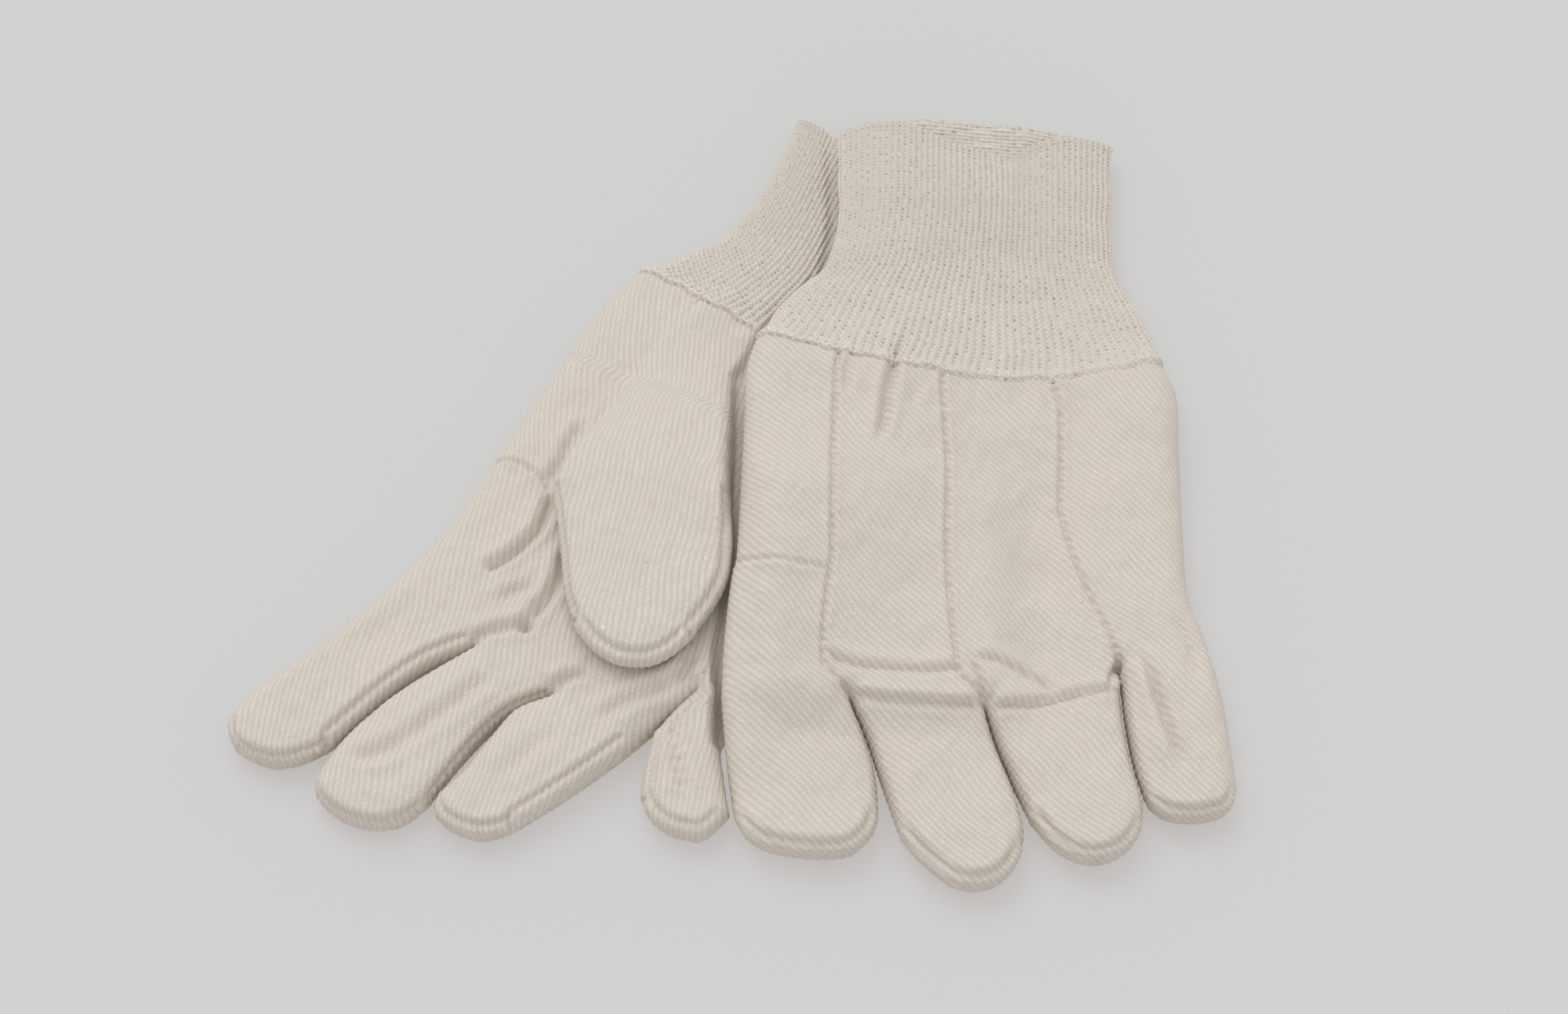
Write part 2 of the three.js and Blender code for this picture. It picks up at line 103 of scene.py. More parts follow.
class Line:
    """A smooth line through points, read by its share of the length, from 0 to 1."""

    def __init__(self, points):
        p = np.array(points, float)
        if len(p) > 2:
            ends = np.vstack([2 * p[0] - p[1], p, 2 * p[-1] - p[-2]])
            t = np.linspace(0, 1, 24, endpoint=False)[:, None]
            pieces = []
            for a, b, c, d in zip(ends, ends[1:], ends[2:], ends[3:]):
                pieces.append(0.5 * (2 * b + (c - a) * t + (2 * a - 5 * b + 4 * c - d) * t ** 2
                                     + (3 * b - a - 3 * c + d) * t ** 3))
            p = np.vstack(pieces + [p[-1:]])
        self.points = p
        steps = np.linalg.norm(np.diff(p, axis=0), axis=1)
        self.reach = np.concatenate([[0], np.cumsum(steps)])
        self.length = self.reach[-1]

    def at(self, t):
        goal = np.asarray(t, float) * self.length
        axes = range(self.points.shape[1])
        return np.stack([np.interp(goal, self.reach, self.points[:, k]) for k in axes], -1)

    def nearest(self, x, y):
        """Distance to the line, how far along it that place is, and 1 on its left or -1 on its right."""
        best = np.full(np.shape(x), 1e9)
        along = np.zeros(np.shape(x))
        hand = np.ones(np.shape(x))
        step = 3 if len(self.points) > 9 else 1
        points, reach = self.points[::step], self.reach[::step]
        if reach[-1] < self.length:
            points = np.vstack([points, self.points[-1]])
            reach = np.append(reach, self.length)
        for (ax, ay), (bx, by), start in zip(points, points[1:], reach):
            dx, dy = bx - ax, by - ay
            size = math.hypot(dx, dy)
            if size < 1e-9:
                continue
            t = np.clip(((x - ax) * dx + (y - ay) * dy) / size ** 2, 0, 1)
            d = np.hypot(x - ax - t * dx, y - ay - t * dy)
            nearer = d < best
            best = np.where(nearer, d, best)
            along = np.where(nearer, start + t * size, along)
            hand = np.where(nearer, np.where(dx * (y - ay) - dy * (x - ax) < 0, -1, 1), hand)
        return best, along, hand


def waves(x, y, longest, count, seed):
    """Smooth, aimless ups and downs between about -1 and 1, none longer than longest."""
    source = np.random.default_rng(seed)
    total = np.zeros(np.broadcast(x, y).shape)
    for _ in range(count):
        turn = source.uniform(0, 2 * math.pi)
        pace = 2 * math.pi / (longest * source.uniform(0.45, 1))
        total += np.cos(pace * (x * math.cos(turn) + y * math.sin(turn)) + source.uniform(0, 2 * math.pi))
    return total / math.sqrt(count * 2)


# ------------------------------------------------------------------ how the gloves lie on each other

# The right glove's hidden edge and the left glove's visible edge, as (y, x).
UNDER_EDGE = [(-70, 8), (-55, 21), (-20, 49), (8, 70), (58, 69), (92, 85)]
OVER_EDGE = [(-90, -1), (-60, -1), (-38, 1), (-21, 3), (32, 4), (54, 14), (70, 29), (86, 32)]


def ground(x, y):
    """Height of what the left glove lies on: the right glove, sloping off to the floor."""
    edge = knots(UNDER_EDGE, y)
    return LIFT * (1 - ease(0, 1, (x - edge + 40) / 75)) * ease(-105, -65, y)


def covered(x, y):
    """1 where the left glove covers the right one, 0 where it doesn't."""
    edge = knots(OVER_EDGE, y)
    return ease(edge - 4.5, edge - 1.2, x) * ease(-92, -84, y)


def thumb_hump(x, y):
    """The hump that the left glove's own thumb makes under its palm."""
    return THUMB_ROOM * ease(2, 16, x) * (1 - ease(72, 90, x)) * (1 - ease(-24, 12, y)) * ease(-90, -74, y)


# ------------------------------------------------------------------ the plan of each glove

# A finger has its group of columns, its left and right side and its tip. sewn says which of them has a seam,
# and how far in from the outline it lies.
RIGHT = dict(
    on_top=False,
    left=[(-28.5, 74), (-38, 62), (-46.5, 48), (-56, 30), (-66, 12), (-75, -6), (-84, -21), (-94, -33.5)],
    right=[(70, 8), (58, -8), (43, -27), (27, -49), (12.7, -67)],
    wrist_bow=0.0,
    heel=[(-68, 4), (-60, 1), (-54, -4), (-51.5, -9), (-30, -11), (0.6, -12), (15, -17), (44, -28)],
    knuckles=[(-94, -33.5), (-72.5, -57.5), (-50, -73), (-27, -89.5), (-9.5, -72.5), (12.7, -67)],
    seams_at_wrist=[0.2, 0.45, 0.66, 0.72],
    swing_from=[0.45, 0.45, 0.45, 0.45, 0.45, 0.45],
    drift=[0.0] * 6,
    thumb_base=[(-51.5, -9), (0.6, -12)],
    fingers=dict(
        index=dict(group=0, left=[(-103, -44), (-118, -58), (-130, -68), (-138, -76)],
                   tip=[(-140.5, -81), (-138, -88.5), (-131, -93), (-124, -94), (-116, -91.5)],
                   right=[(-84, -63), (-94, -71), (-103, -80), (-110, -87.5)], sewn=(None, 2.7, 1.0)),
        middle=dict(group=1, left=[(-85, -66), (-97, -75.5), (-107, -86), (-114, -97)],
                    tip=[(-114.5, -103), (-110, -108.5), (-103, -112.5), (-95, -113.5), (-88, -111)],
                    right=[(-60, -77.5), (-67, -84), (-74, -93), (-82, -105)], sewn=(0.0, 0.6, 0.6)),
        ring=dict(group=2, left=[(-60, -77.5), (-67, -87), (-74, -97), (-80.5, -104)],
                  tip=[(-81, -109), (-77, -113.5), (-70, -116.5), (-63, -116)],
                  right=[(-36, -97), (-46, -105), (-57, -113)], sewn=(0.0, 2.9, 1.8)),
        little=dict(group=4, left=[(-15, -78), (-20, -85), (-23, -95), (-24, -103)],
                    tip=[(-22.5, -109), (-18, -114), (-12, -116.5), (-6, -116.5)],
                    right=[(4, -78), (-1.8, -87), (-1, -99), (0.6, -110)], sewn=(3.2, None, 2.2)),
    ),
)
LEFT = dict(
    on_top=True,
    left=[(7.7, 42), (4.9, 31), (4, 9), (3, -15), (2.2, -33), (0.6, -42), (-1.2, -60), (-1.8, -76.5)],
    right=[(128, 40), (132, 28), (131.6, 10), (131.2, -17), (131.2, -38), (133.5, -50), (136, -61)],
    wrist_bow=-12.0,
    heel=[(2, -36.5), (7, -38.8), (13, -40.2), (19.3, -41.2), (28, -41.6), (62.6, -21.5), (90, -20),
          (131, -24)],
    knuckles=[(-1.8, -76.5), (34, -77), (71.8, -79.5), (110.5, -65), (136, -61)],
    seams_at_wrist=[0.205, 0.452, 0.725],
    swing_from=[0.8, 0.93, 0.92, 0.55, 0.6],
    drift=[0.0, 0.0, 0.024, 0.0, 0.0],
    thumb_base=[(19.3, -41.2), (62.6, -21.5)],
    fingers=dict(
        index=dict(group=0, left=[(-0.8, -90), (0.4, -100), (2, -111)],
                   tip=[(5, -116.5), (10, -120), (18, -122), (27, -122.7), (34.5, -121.5), (40, -116)],
                   right=[(38.3, -87), (41, -97), (42, -109)], sewn=(None, 0.0, 1.8)),
        middle=dict(group=1, left=[(38.7, -87), (42, -98), (47, -115)],
                    tip=[(50.5, -121), (55.5, -126.5), (61, -131), (67.5, -132.6), (74, -131), (79, -126)],
                    right=[(75.3, -91), (79.3, -103), (81.8, -114), (81.3, -120)], sewn=(0.0, 0.0, 1.8)),
        ring=dict(group=2, left=[(75.7, -91), (79.6, -102), (82.8, -110)],
                  tip=[(86.5, -116), (91, -121), (96.5, -124), (102, -124.6), (108, -122.5), (112.5, -118)],
                  right=[(110.8, -80), (112.6, -95), (115, -106), (114.8, -112)], sewn=(0.0, 0.0, 1.8)),
        little=dict(group=3, left=[(111.2, -80), (113.1, -95), (115.6, -105)],
                    tip=[(118, -108.5), (122, -111), (128, -111.8), (134, -111), (139, -108.5)],
                    right=[(139, -73), (140.4, -88), (141.4, -102)], sewn=(0.0, None, 1.4)),
    ),
)
# A thumb lies over or under its palm. middle is the height of its side seams; outward and inward are the rise
# of its outer and its inner sheet.
THUMBS = dict(
    right=dict(left=[(-49.5, -20), (-47.8, -33), (-46.5, -45), (-44, -54)],
               tip=[(-41, -60), (-36, -65.5), (-30, -68.6), (-22, -68.8), (-15, -65)],
               right=[(1.0, -24), (0.8, -34), (-0.5, -42), (-4, -50), (-9, -58)],
               middle=lambda x, y: 18.0, outward=6.4, inward=4.2, swell=11.0, sewn=(1.0, 2.2, 2.4)),
    left=dict(left=[(26.7, -50), (36.7, -62)], tip=[(46, -70), (58, -71), (67, -64)],
              right=[(67.7, -33), (71.7, -48)],
              middle=lambda x, y: ground(x, y) + 3.25, outward=2.1, inward=2.1, swell=5.6,
              sewn=(0.0, 0.0, 0.0)),
)


# ------------------------------------------------------------------ the skin of a glove

class Skin:
    """Grids of points that share their common points, and the displacement of each point."""

    def __init__(self):
        self.blocks = {}

    def add(self, name, points, up, edge=None):
        rows, cols = points.shape[:2]
        self.blocks[name] = dict(points=points, up=up, edge=edge, move=np.zeros((rows, cols)))
        return self.blocks[name]

    def weld(self):
        flat = np.vstack([b["points"].reshape(-1, 3) for b in self.blocks.values()])
        self.points, where = np.unique(flat, axis=0, return_inverse=True)
        where = where.ravel()
        start = 0
        for b in self.blocks.values():
            rows, cols = b["points"].shape[:2]
            b["index"] = where[start:start + rows * cols].reshape(rows, cols)
            start += rows * cols

    def quads(self, name, mask=None):
        b = self.blocks[name]
        k = b["index"]
        corners = [k[:-1, :-1], k[1:, :-1], k[1:, 1:], k[:-1, 1:]]
        if not b["up"]:
            corners.reverse()
        faces = np.stack(corners, -1)
        return faces[mask] if mask is not None else faces.reshape(-1, 4)

    def normals(self):
        total = np.zeros_like(self.points)
        for name in self.blocks:
            f = self.quads(name)
            p = self.points[f]
            n = np.cross(p[:, 2] - p[:, 0], p[:, 3] - p[:, 1])
            for k in range(4):
                np.add.at(total, f[:, k], n)
        return unit(total)

    def displace(self, key):
        """Moves each point along the skin's normal by its blocks' mean displacement."""
        move = np.zeros(len(self.points))
        count = np.zeros(len(self.points))
        for b in self.blocks.values():
            np.add.at(move, b["index"].ravel(), b[key].ravel())
            np.add.at(count, b["index"].ravel(), 1)
        self.points = self.points + self.normals() * (move / np.maximum(count, 1))[:, None]


def spread(count, edge=0.72):
    """count + 1 places from 0 to 1, closer together near both ends."""
    t = np.linspace(0, 1, count + 1)
    return t - edge * np.sin(2 * math.pi * t) / (2 * math.pi)


def round_edge(distance, radius):
    """The rise of an inflated sheet at a distance from its edge: 0 at the edge, 1 from radius on."""
    t = np.clip(distance / radius, 0, 1)
    return np.sqrt(np.clip(1 - (1 - t) ** 2.2, 0, 1))


def patch(left, right, first, last, rows, cols):
    """A grid between four lines: left and right run down the rows, first and last are the end rows."""
    s = rows[:, None, None]
    v = cols[None, :, None]
    a, b = left[:, None], right[:, None]
    corners = ((1 - s) * ((1 - v) * first[0] + v * first[-1]) + s * ((1 - v) * last[0] + v * last[-1]))
    return (1 - v) * a + v * b + (1 - s) * first[None] + s * last[None] - corners


def outline_of(start, end, finger):
    """A finger's left side, right side and tip as lines. start and end are the two ends of its first row."""
    left = Line(np.vstack([[start], finger["left"]]))
    right = Line(np.vstack([[end], finger["right"]]))
    tip = Line(np.vstack([[finger["left"][-1]], finger["tip"], [finger["right"][-1]]]))
    return left, right, tip


def least_distance(lines, x, y):
    return np.min([line.nearest(x, y)[0] for line in lines], axis=0)


class Plan:
    """One glove's plan: the grid of its hand in (x, y), and the outlines of its fingers."""

    def __init__(self, plan):
        self.plan = plan
        self.left, self.right = Line(plan["left"]), Line(plan["right"])
        self.knuckles = np.array(plan["knuckles"], float)
        self.outlines = {name: outline_of(*self.knuckles[f["group"]:f["group"] + 2], f)
                         for name, f in plan["fingers"].items()}
        self.edges = [line for lines in self.outlines.values() for line in lines] + [self.left, self.right]
        if len(self.knuckles) == 6:
            self.edges.append(Line(self.knuckles[3:5]))
        self.make_columns()
        self.make_hand()

    def make_columns(self):
        """Each column's share across the wrist and the knuckles, and the columns where a finger begins."""
        lengths = np.linalg.norm(np.diff(self.knuckles, axis=0), axis=1)
        group, self.starts = [0.0], [0]
        for k, length in enumerate(lengths):
            w = spread(max(8, int(length / GRID * 1.15)))
            group += list(k + w[1:])
            self.starts.append(len(group) - 1)
        k = np.arange(len(self.knuckles))
        at_wrist = [0.0, *self.plan["seams_at_wrist"], 1.0]
        self.wrist_share = np.interp(group, k, at_wrist)
        self.swing_from = np.interp(group, k, self.plan["swing_from"])
        self.drift = np.interp(group, k, self.plan["drift"])
        self.knuckle_row = np.stack([np.interp(group, k, self.knuckles[:, i]) for i in range(2)], -1)

    def make_hand(self):
        plan = self.plan
        heel = np.array(plan["heel"], float)
        ends = [line.nearest(*p)[1] / line.length
                for line, p in ((self.left, heel[0]), (self.right, heel[-1]))]
        n_rows = int(self.left.length / GRID)
        self.heel_row = round(sum(ends) / 2 * n_rows)
        s = np.linspace(0, 1, n_rows + 1)
        at = s[self.heel_row]
        near = ease(at - 0.3, at, s) * (1 - ease(at, at + 0.3, s))
        a = self.left.at(s + near * (ends[0] - at))[:, None]
        b = self.right.at(s + near * (ends[1] - at))[:, None]
        chord = self.knuckles[-1] - self.knuckles[0]
        knuckle_share = (self.knuckle_row - self.knuckles[0]) @ chord / (chord @ chord)
        swing = ease(self.swing_from, 1, s[:, None])
        v = (1 - swing) * (self.wrist_share + self.drift * ease(0, 0.7, s[:, None])) + swing * knuckle_share
        hand = a + (b - a) * v[..., None]
        ruled = self.knuckles[0] + chord * knuckle_share[:, None]
        hand = hand + (self.knuckle_row - ruled)[None] * ease(0.5, 1, s)[:, None, None]
        row = hand[self.heel_row]
        heel[0], heel[-1] = row[0], row[-1]
        chord = row[-1] - row[0]
        share_of = lambda p: (p - row[0]) @ chord / (chord @ chord)
        goal = np.stack([np.interp(share_of(row), share_of(heel), heel[:, i]) for i in range(2)], -1)
        hand = hand + near[:, None, None] * (goal - row)[None]
        hand[-1] = self.knuckle_row
        across = self.right.at(0) - self.left.at(0)
        out = np.array([-across[1], across[0]]) / np.linalg.norm(across)
        inside = np.sin(math.pi * np.clip(v, 0, 1)).clip(0)
        bow = plan["wrist_bow"] * inside ** 0.8 * (1 - ease(0, 0.5, s))[:, None]
        ruffle = 0.8 * waves(v * 110, 0 * v, 16, 7, 61) * inside ** 0.5 * (1 - ease(0, 0.05, s))[:, None]
        hand = hand + out * ruffle[..., None]
        self.s, self.hand, self.bowed = s, hand, hand + out * bow[..., None]
        row = hand[self.heel_row]
        self.thumb_span = [int(np.argmin(np.linalg.norm(row - p, axis=1))) for p in plan["thumb_base"]]


# ------------------------------------------------------------------ heights of the sheets

def sheet_heights(plan, x, y, full, up, extra=0.0):
    """Height of a sheet. full is 0 at the outline and 1 inside, up says which sheet, extra is a swelling."""
    if plan["on_top"]:
        lift = thumb_hump(x, y)
        low = ground(x, y)
        mid = low + lift + EDGE_Z + LAY_GAP
        if up:
            return mid + RISE * full
        return np.maximum(low + FLOOR_GAP + lift - extra, mid - (RISE + extra) * full)
    cover = covered(x, y)
    limit = ground(x, y) - LAY_GAP
    mid = mix(EDGE_Z, np.minimum(EDGE_Z, limit / 2), cover)
    if up:
        free = mid + RISE * full + extra
        return mix(free, np.minimum(free, limit), cover)
    return np.maximum(FLOOR_GAP, mid - RISE * full)


# ------------------------------------------------------------------ folds

class Fold:
    """A crease along a line of points: a valley of a width and depth, with lips at its sides.
    step is how far its left side stands over its right side."""

    def __init__(self, points, width, depth, lip=0.0, ripple=0.0, pitch=4.0, fade=8.0, step=0.0):
        self.line = Line(points)
        self.width, self.depth, self.lip, self.step = width, depth, lip, step
        self.ripple, self.pitch, self.fade = ripple, pitch, fade

    def height(self, x, y):
        p = self.line.points
        margin = 4 * self.width + 6
        near = ((x > p[:, 0].min() - margin) & (x < p[:, 0].max() + margin)
                & (y > p[:, 1].min() - margin) & (y < p[:, 1].max() + margin))
        total = np.zeros(x.shape)
        if not near.any():
            return total
        d, along, hand = self.line.nearest(x[near], y[near])
        ends = ease(0, self.fade, along) * ease(0, self.fade, self.line.length - along)
        value = -self.depth * bell(d, self.width) + self.lip * bell(d - 2.2 * self.width, 1.2 * self.width)
        if self.step:
            value = value + self.step * np.tanh(hand * d / 0.5) * bell(d, 3.4)
        if self.ripple:
            beat = np.cos(2 * math.pi * along / self.pitch + 1.7 * np.sin(along / 5.1))
            value = value + self.ripple * beat * bell(d, 2.2 * self.width)
        total[near] = value * ends
        return total


LEFT_FOLDS = [
    # tuck under the wrist
    Fold([(51, 40), (48.6, 32.3), (46.8, 24), (45.6, 17.6), (44.5, 9), (42.5, -1)], 1.4, 2.0, 1.0, fade=10),
    Fold([(55, 27), (54, 20), (53, 14)], 1.6, 0.7, 0.5, fade=5),
    Fold([(33, 30), (34, 23), (34, 17)], 1.5, 0.8, 0.4, fade=5),
    # folds across the knuckles
    Fold([(25, -64), (34, -68.5), (46, -70), (58, -70.5), (68, -68.5)], 1.3, 0.9, 0.5, fade=7, step=0.9),
    Fold([(34, -76.5), (42, -79), (54, -80), (64, -80.5), (72, -80)], 1.1, 1.0, 0.6, fade=4, step=0.9),
    Fold([(67, -67), (76, -67), (86, -71), (94, -77)], 1.3, 0.9, 0.4, fade=6, step=0.8),
    Fold([(73, -81), (80, -80), (90, -78), (100, -75), (110, -72.5)], 1.1, 1.1, 0.6, fade=4, step=0.9),
    Fold([(68.5, -68), (70.5, -73), (72, -79)], 0.9, 1.2, 0.4, fade=2, step=0.6),
    Fold([(110.5, -64), (108.5, -68), (107, -72)], 0.9, 1.6, 0.5, fade=1),
    # pleats on the little finger
    Fold([(113, -59), (117.5, -66), (120, -76), (123, -88), (127, -101)], 1.4, 2.0, 1.0, fade=13, step=-0.9),
    Fold([(127, -48), (130.5, -58), (133, -72)], 2.0, 0.8, 0.5, fade=7, step=0.5),
    # shallow hollows on the back
    Fold([(98, 24), (103, 5), (104, -18)], 7.0, 0.8, 0.2, fade=20),
    Fold([(76, 22), (78, 0), (75, -25)], 8.0, 0.6, 0.2, fade=20),
]
RIGHT_FOLDS = [
    # folds that run from the thumb's crotch
    Fold([(-52.5, -8), (-51, -2), (-48.5, 3), (-46.5, 9), (-42, 18)], 1.9, 1.4, 0.7, fade=6),
    Fold([(-52.5, -8), (-53.5, -16), (-57, -23), (-64, -30), (-71, -35)], 1.5, 1.8, 0.9, fade=4, step=-1.1),
    Fold([(-47.5, -26), (-48.5, -36), (-52, -44), (-57, -51), (-60, -57)], 1.6, 1.9, 1.0, fade=5, step=-0.9),
    Fold([(-53, -40), (-62, -42), (-66, -47)], 1.8, 1.3, 0.8, fade=6),
    Fold([(-73, -57), (-67, -54.5), (-60, -53), (-53, -54)], 1.6, 2.0, 1.0, fade=4),
    Fold([(-50, -73), (-44, -69), (-38, -68)], 1.5, 1.9, 0.9, fade=4),
    Fold([(-10, -73), (-12, -68), (-9, -60)], 1.7, 1.6, 0.9, fade=5),
    Fold([(-38, -84), (-28, -77), (-18, -72), (-9, -66)], 1.8, 1.5, 1.0, fade=8),
    # the middle finger's crease, round towards its tip
    Fold([(-66, -68), (-78, -79), (-90, -89), (-99, -94), (-108, -93)], 2.0, 1.4, 0.9, fade=8),
    Fold([(-45, -85), (-56, -94), (-66, -103)], 2.2, 0.8, 0.5, fade=8),
    # the little finger's puckered band
    Fold([(-17, -82), (-15, -90), (-13, -99), (-12, -107)], 1.5, 0.9, 0.6, 0.35, 3.2, 4),
    Fold([(-88, -44), (-98, -54), (-110, -64)], 5.0, 0.6, 0.2, fade=14),
]


def seam_groove(edge, along, inset, depth=1.05):
    """The groove and puckers where two sheets are sewn together, at a distance inset from their edge."""
    off = edge - inset
    beat = np.cos(2 * math.pi * along / 2.3 + 1.3 * np.sin(along / 3.7))
    if inset < 0.5:
        return -0.15 * bell(off, 0.75) + 0.3 * bell(off - 2.2, 1.1) + 0.17 * beat * bell(off, 2.4)
    lip = 0.5 * bell(edge - inset / 2, 0.55 * inset)
    return -depth * bell(off, 0.7) + 0.4 * bell(off - 2.0, 1.0) + 0.2 * beat * bell(off, 2.4) + lip


# ------------------------------------------------------------------ cloth coordinates

# Direction across the twill's lines in plan, in degrees from +X.
TWILL_TURN = {"right": -10, "left": 44}


def unrolled(points, sideways, lengthways):
    """Each point's place on the flat cloth: its place in plan, moved out by the length that slopes hide.
    sideways says for each row how much of the length hidden across it counts, lengthways how much of the
    length hidden down the columns."""
    plan = points[..., :2]
    flat = plan.copy()
    for axis in (0, 1):
        hidden = (np.linalg.norm(np.diff(points, axis=axis), axis=2)
                  - np.linalg.norm(np.diff(plan, axis=axis), axis=2))
        total = np.zeros(points.shape[:2])
        if axis == 0:
            total[1:] = np.cumsum(hidden, axis=0) * lengthways
        else:
            total[:, 1:] = np.cumsum(hidden, axis=1)
            middle = points.shape[1] // 2
            total = (total - total[:, middle:middle + 1]) * sideways[:, None]
        flat += unit(np.gradient(plan, axis=axis).mean(axis=(0, 1))) * total[..., None]
    return flat


def lay_cloth(block, degrees, seed, sideways, lengthways, carry_on=None):
    """Gives a block its cloth coordinates: across the twill's lines and along them, in millimetres.
    carry_on holds the flat places of its first row, where its cloth is one with another block's."""
    flat = unrolled(block["points"], sideways, lengthways)
    if carry_on is not None:
        flat = flat + (carry_on - flat[0])[None]
    block["flat"] = flat
    x, y = flat[..., 0], flat[..., 1]
    turn = math.radians(degrees)
    across = x * math.cos(turn) + y * math.sin(turn) + 1.1 * waves(x, y, 60, 8, seed)
    along = y * math.cos(turn) - x * math.sin(turn)
    block["cloth"] = np.dstack([across, along])


# ------------------------------------------------------------------ building a glove's skin

def add_finger(skin, name, first, outline, heights, cols):
    """Adds a finger's two blocks. first holds their first rows, heights(x, y, distance, side, rows) is z."""
    left, right, tip = outline
    rows = np.linspace(0, 1, int(left.length / GRID) + 1)
    rows = rows + 0.25 * (rows - rows ** 2)
    last = tip.at(cols)
    sides = {}
    for side in ("front", "back"):
        xy = patch(left.at(rows), right.at(rows), first[side][:, :2], last, rows, cols)
        distance = least_distance(outline, xy[..., 0], xy[..., 1])
        distance[:, 0] = distance[:, -1] = 0
        distance[-1] = 0
        z = heights(xy[..., 0], xy[..., 1], distance, side, rows)
        points = np.dstack([xy, z])
        points[0] = first[side]
        sides[side] = points, distance
    front, back = sides["front"][0], sides["back"][0]
    back[:, [0, -1]] = front[:, [0, -1]]
    back[-1] = front[-1]
    for side, (points, distance) in sides.items():
        skin.add(f"{name}_{side}", points, first["up"][side], distance)


def build_hand(glove, skin, up):
    """The hand: the heel and the palm are the front, and the back is whole."""
    plan = glove.plan
    thumb = THUMBS["left" if plan["on_top"] else "right"]
    j0, j1 = glove.thumb_span
    heel_xy = glove.hand[glove.heel_row]
    base_outline = outline_of(heel_xy[j0], heel_xy[j1], thumb)
    shape = np.zeros(glove.hand.shape[1])
    base = heel_xy[j0:j1 + 1]
    shape[j0:j1 + 1] = round_edge(least_distance(base_outline, base[:, 0], base[:, 1]), 10)
    shape[[j0, j1]] = 0
    soft = np.zeros_like(shape)
    soft[j0:j1 + 1] = np.sin(math.pi * np.linspace(0, 1, j1 - j0 + 1)) ** 2
    at = glove.s[glove.heel_row]
    if not plan["on_top"]:
        width = np.linspace(0, 1, j1 - j0 + 1)
        soft[j0:j1 + 1] = ease(0, 0.5, width)
        soft[j1 + 1:] = 1
        shape[j0:j1 + 1] = round_edge(width * np.linalg.norm(base[-1] - base[0]), 10)
        shape[j1 + 1:] = 1
    sharpness = ease(0.62 * at, at, glove.s)[:, None]
    swell = thumb["swell"] * mix(soft, shape, sharpness) * ease(0.05 * at, at, glove.s)[:, None]
    if not plan["on_top"]:
        x, y = glove.hand[..., 0], glove.hand[..., 1]
        swell = swell * round_edge(np.maximum(knots(OVER_EDGE, y) - OVER_MARGIN - x, 0), 5)

    grids = {}
    for side in ("front", "back"):
        xy = glove.bowed if up[side] else glove.hand
        x, y = xy[..., 0], xy[..., 1]
        distance = least_distance(glove.edges, x, y)
        distance[:, 0] = distance[:, -1] = 0
        distance[-1, glove.starts[1:-1]] = 0
        full = round_edge(distance, mix(ROUND, FINGER_ROUND, ease(0.6, 1, glove.s))[:, None])
        grids[side] = np.dstack([x, y, sheet_heights(plan, x, y, full, up[side])]), distance
        if side == "front":
            heel = np.dstack([x, y, sheet_heights(plan, x, y, full, up[side], swell)])
    front, back = grids["front"][0], grids["back"][0]
    k = glove.heel_row
    if plan["on_top"]:
        front[:, [0, -1], 2] = back[:, [0, -1], 2]
    heel[:, [0, -1]] = front[:, [0, -1]]
    back[:, [0, -1]] = front[:, [0, -1]]
    webs = glove.starts[1:-1]
    back[-1, webs] = front[-1, webs]
    if len(glove.knuckles) == 6:
        a, b = glove.starts[3:5]
        front[-1, a:b + 1, 2] = front[-1, a, 2]
        back[-1, a:b + 1] = front[-1, a:b + 1]
    outside = np.ones(shape.size, bool)
    outside[j0 + 1:j1] = False
    heel[k, outside] = front[k, outside]
    skin.add("heel", heel[:k + 1], up["front"], grids["front"][1][:k + 1])
    skin.add("palm", front[k:], up["front"], grids["front"][1][k:])
    skin.add("back", back, up["back"], grids["back"][1])
    return base_outline


def build_thumb(glove, skin, up, outline):
    """The thumb: its outer sheet starts at the heel's last row, its inner sheet at the palm's first row."""
    plan = glove.plan
    thumb = THUMBS["left" if plan["on_top"] else "right"]
    j0, j1 = glove.thumb_span
    sign = 1 if up["front"] else -1
    first = {"front": skin.blocks["heel"]["points"][-1, j0:j1 + 1],
             "back": skin.blocks["palm"]["points"][0, j0:j1 + 1],
             "up": {"front": up["front"], "back": not up["front"]}}
    reach = {"front": sign * thumb["outward"], "back": -sign * thumb["inward"]}

    def heights(x, y, distance, side, rows):
        middle = thumb["middle"](x, y) + 0 * x
        z = middle + reach[side] * round_edge(distance, 10)
        start = first[side][:, 2] - z[0]
        return z + start * (1 - ease(0, 15, rows * outline[0].length))[:, None]

    along = np.linalg.norm(np.diff(first["front"][:, :2], axis=0), axis=1)
    cols = np.concatenate([[0], np.cumsum(along)]) / along.sum()
    add_finger(skin, "thumb", first, outline, heights, cols)


def build_fingers(glove, skin, up):
    plan = glove.plan
    for name, f in plan["fingers"].items():
        a, b = glove.starts[f["group"]:f["group"] + 2]
        first = {"front": skin.blocks["palm"]["points"][-1, a:b + 1],
                 "back": skin.blocks["back"]["points"][-1, a:b + 1], "up": up}

        def heights(x, y, distance, side, rows):
            full = round_edge(distance, FINGER_ROUND) * mix(1, 0.85, ease(0.3, 1, rows))[:, None]
            return sheet_heights(plan, x, y, full, up[side])

        add_finger(skin, name, first, glove.outlines[name], heights, spread(b - a))


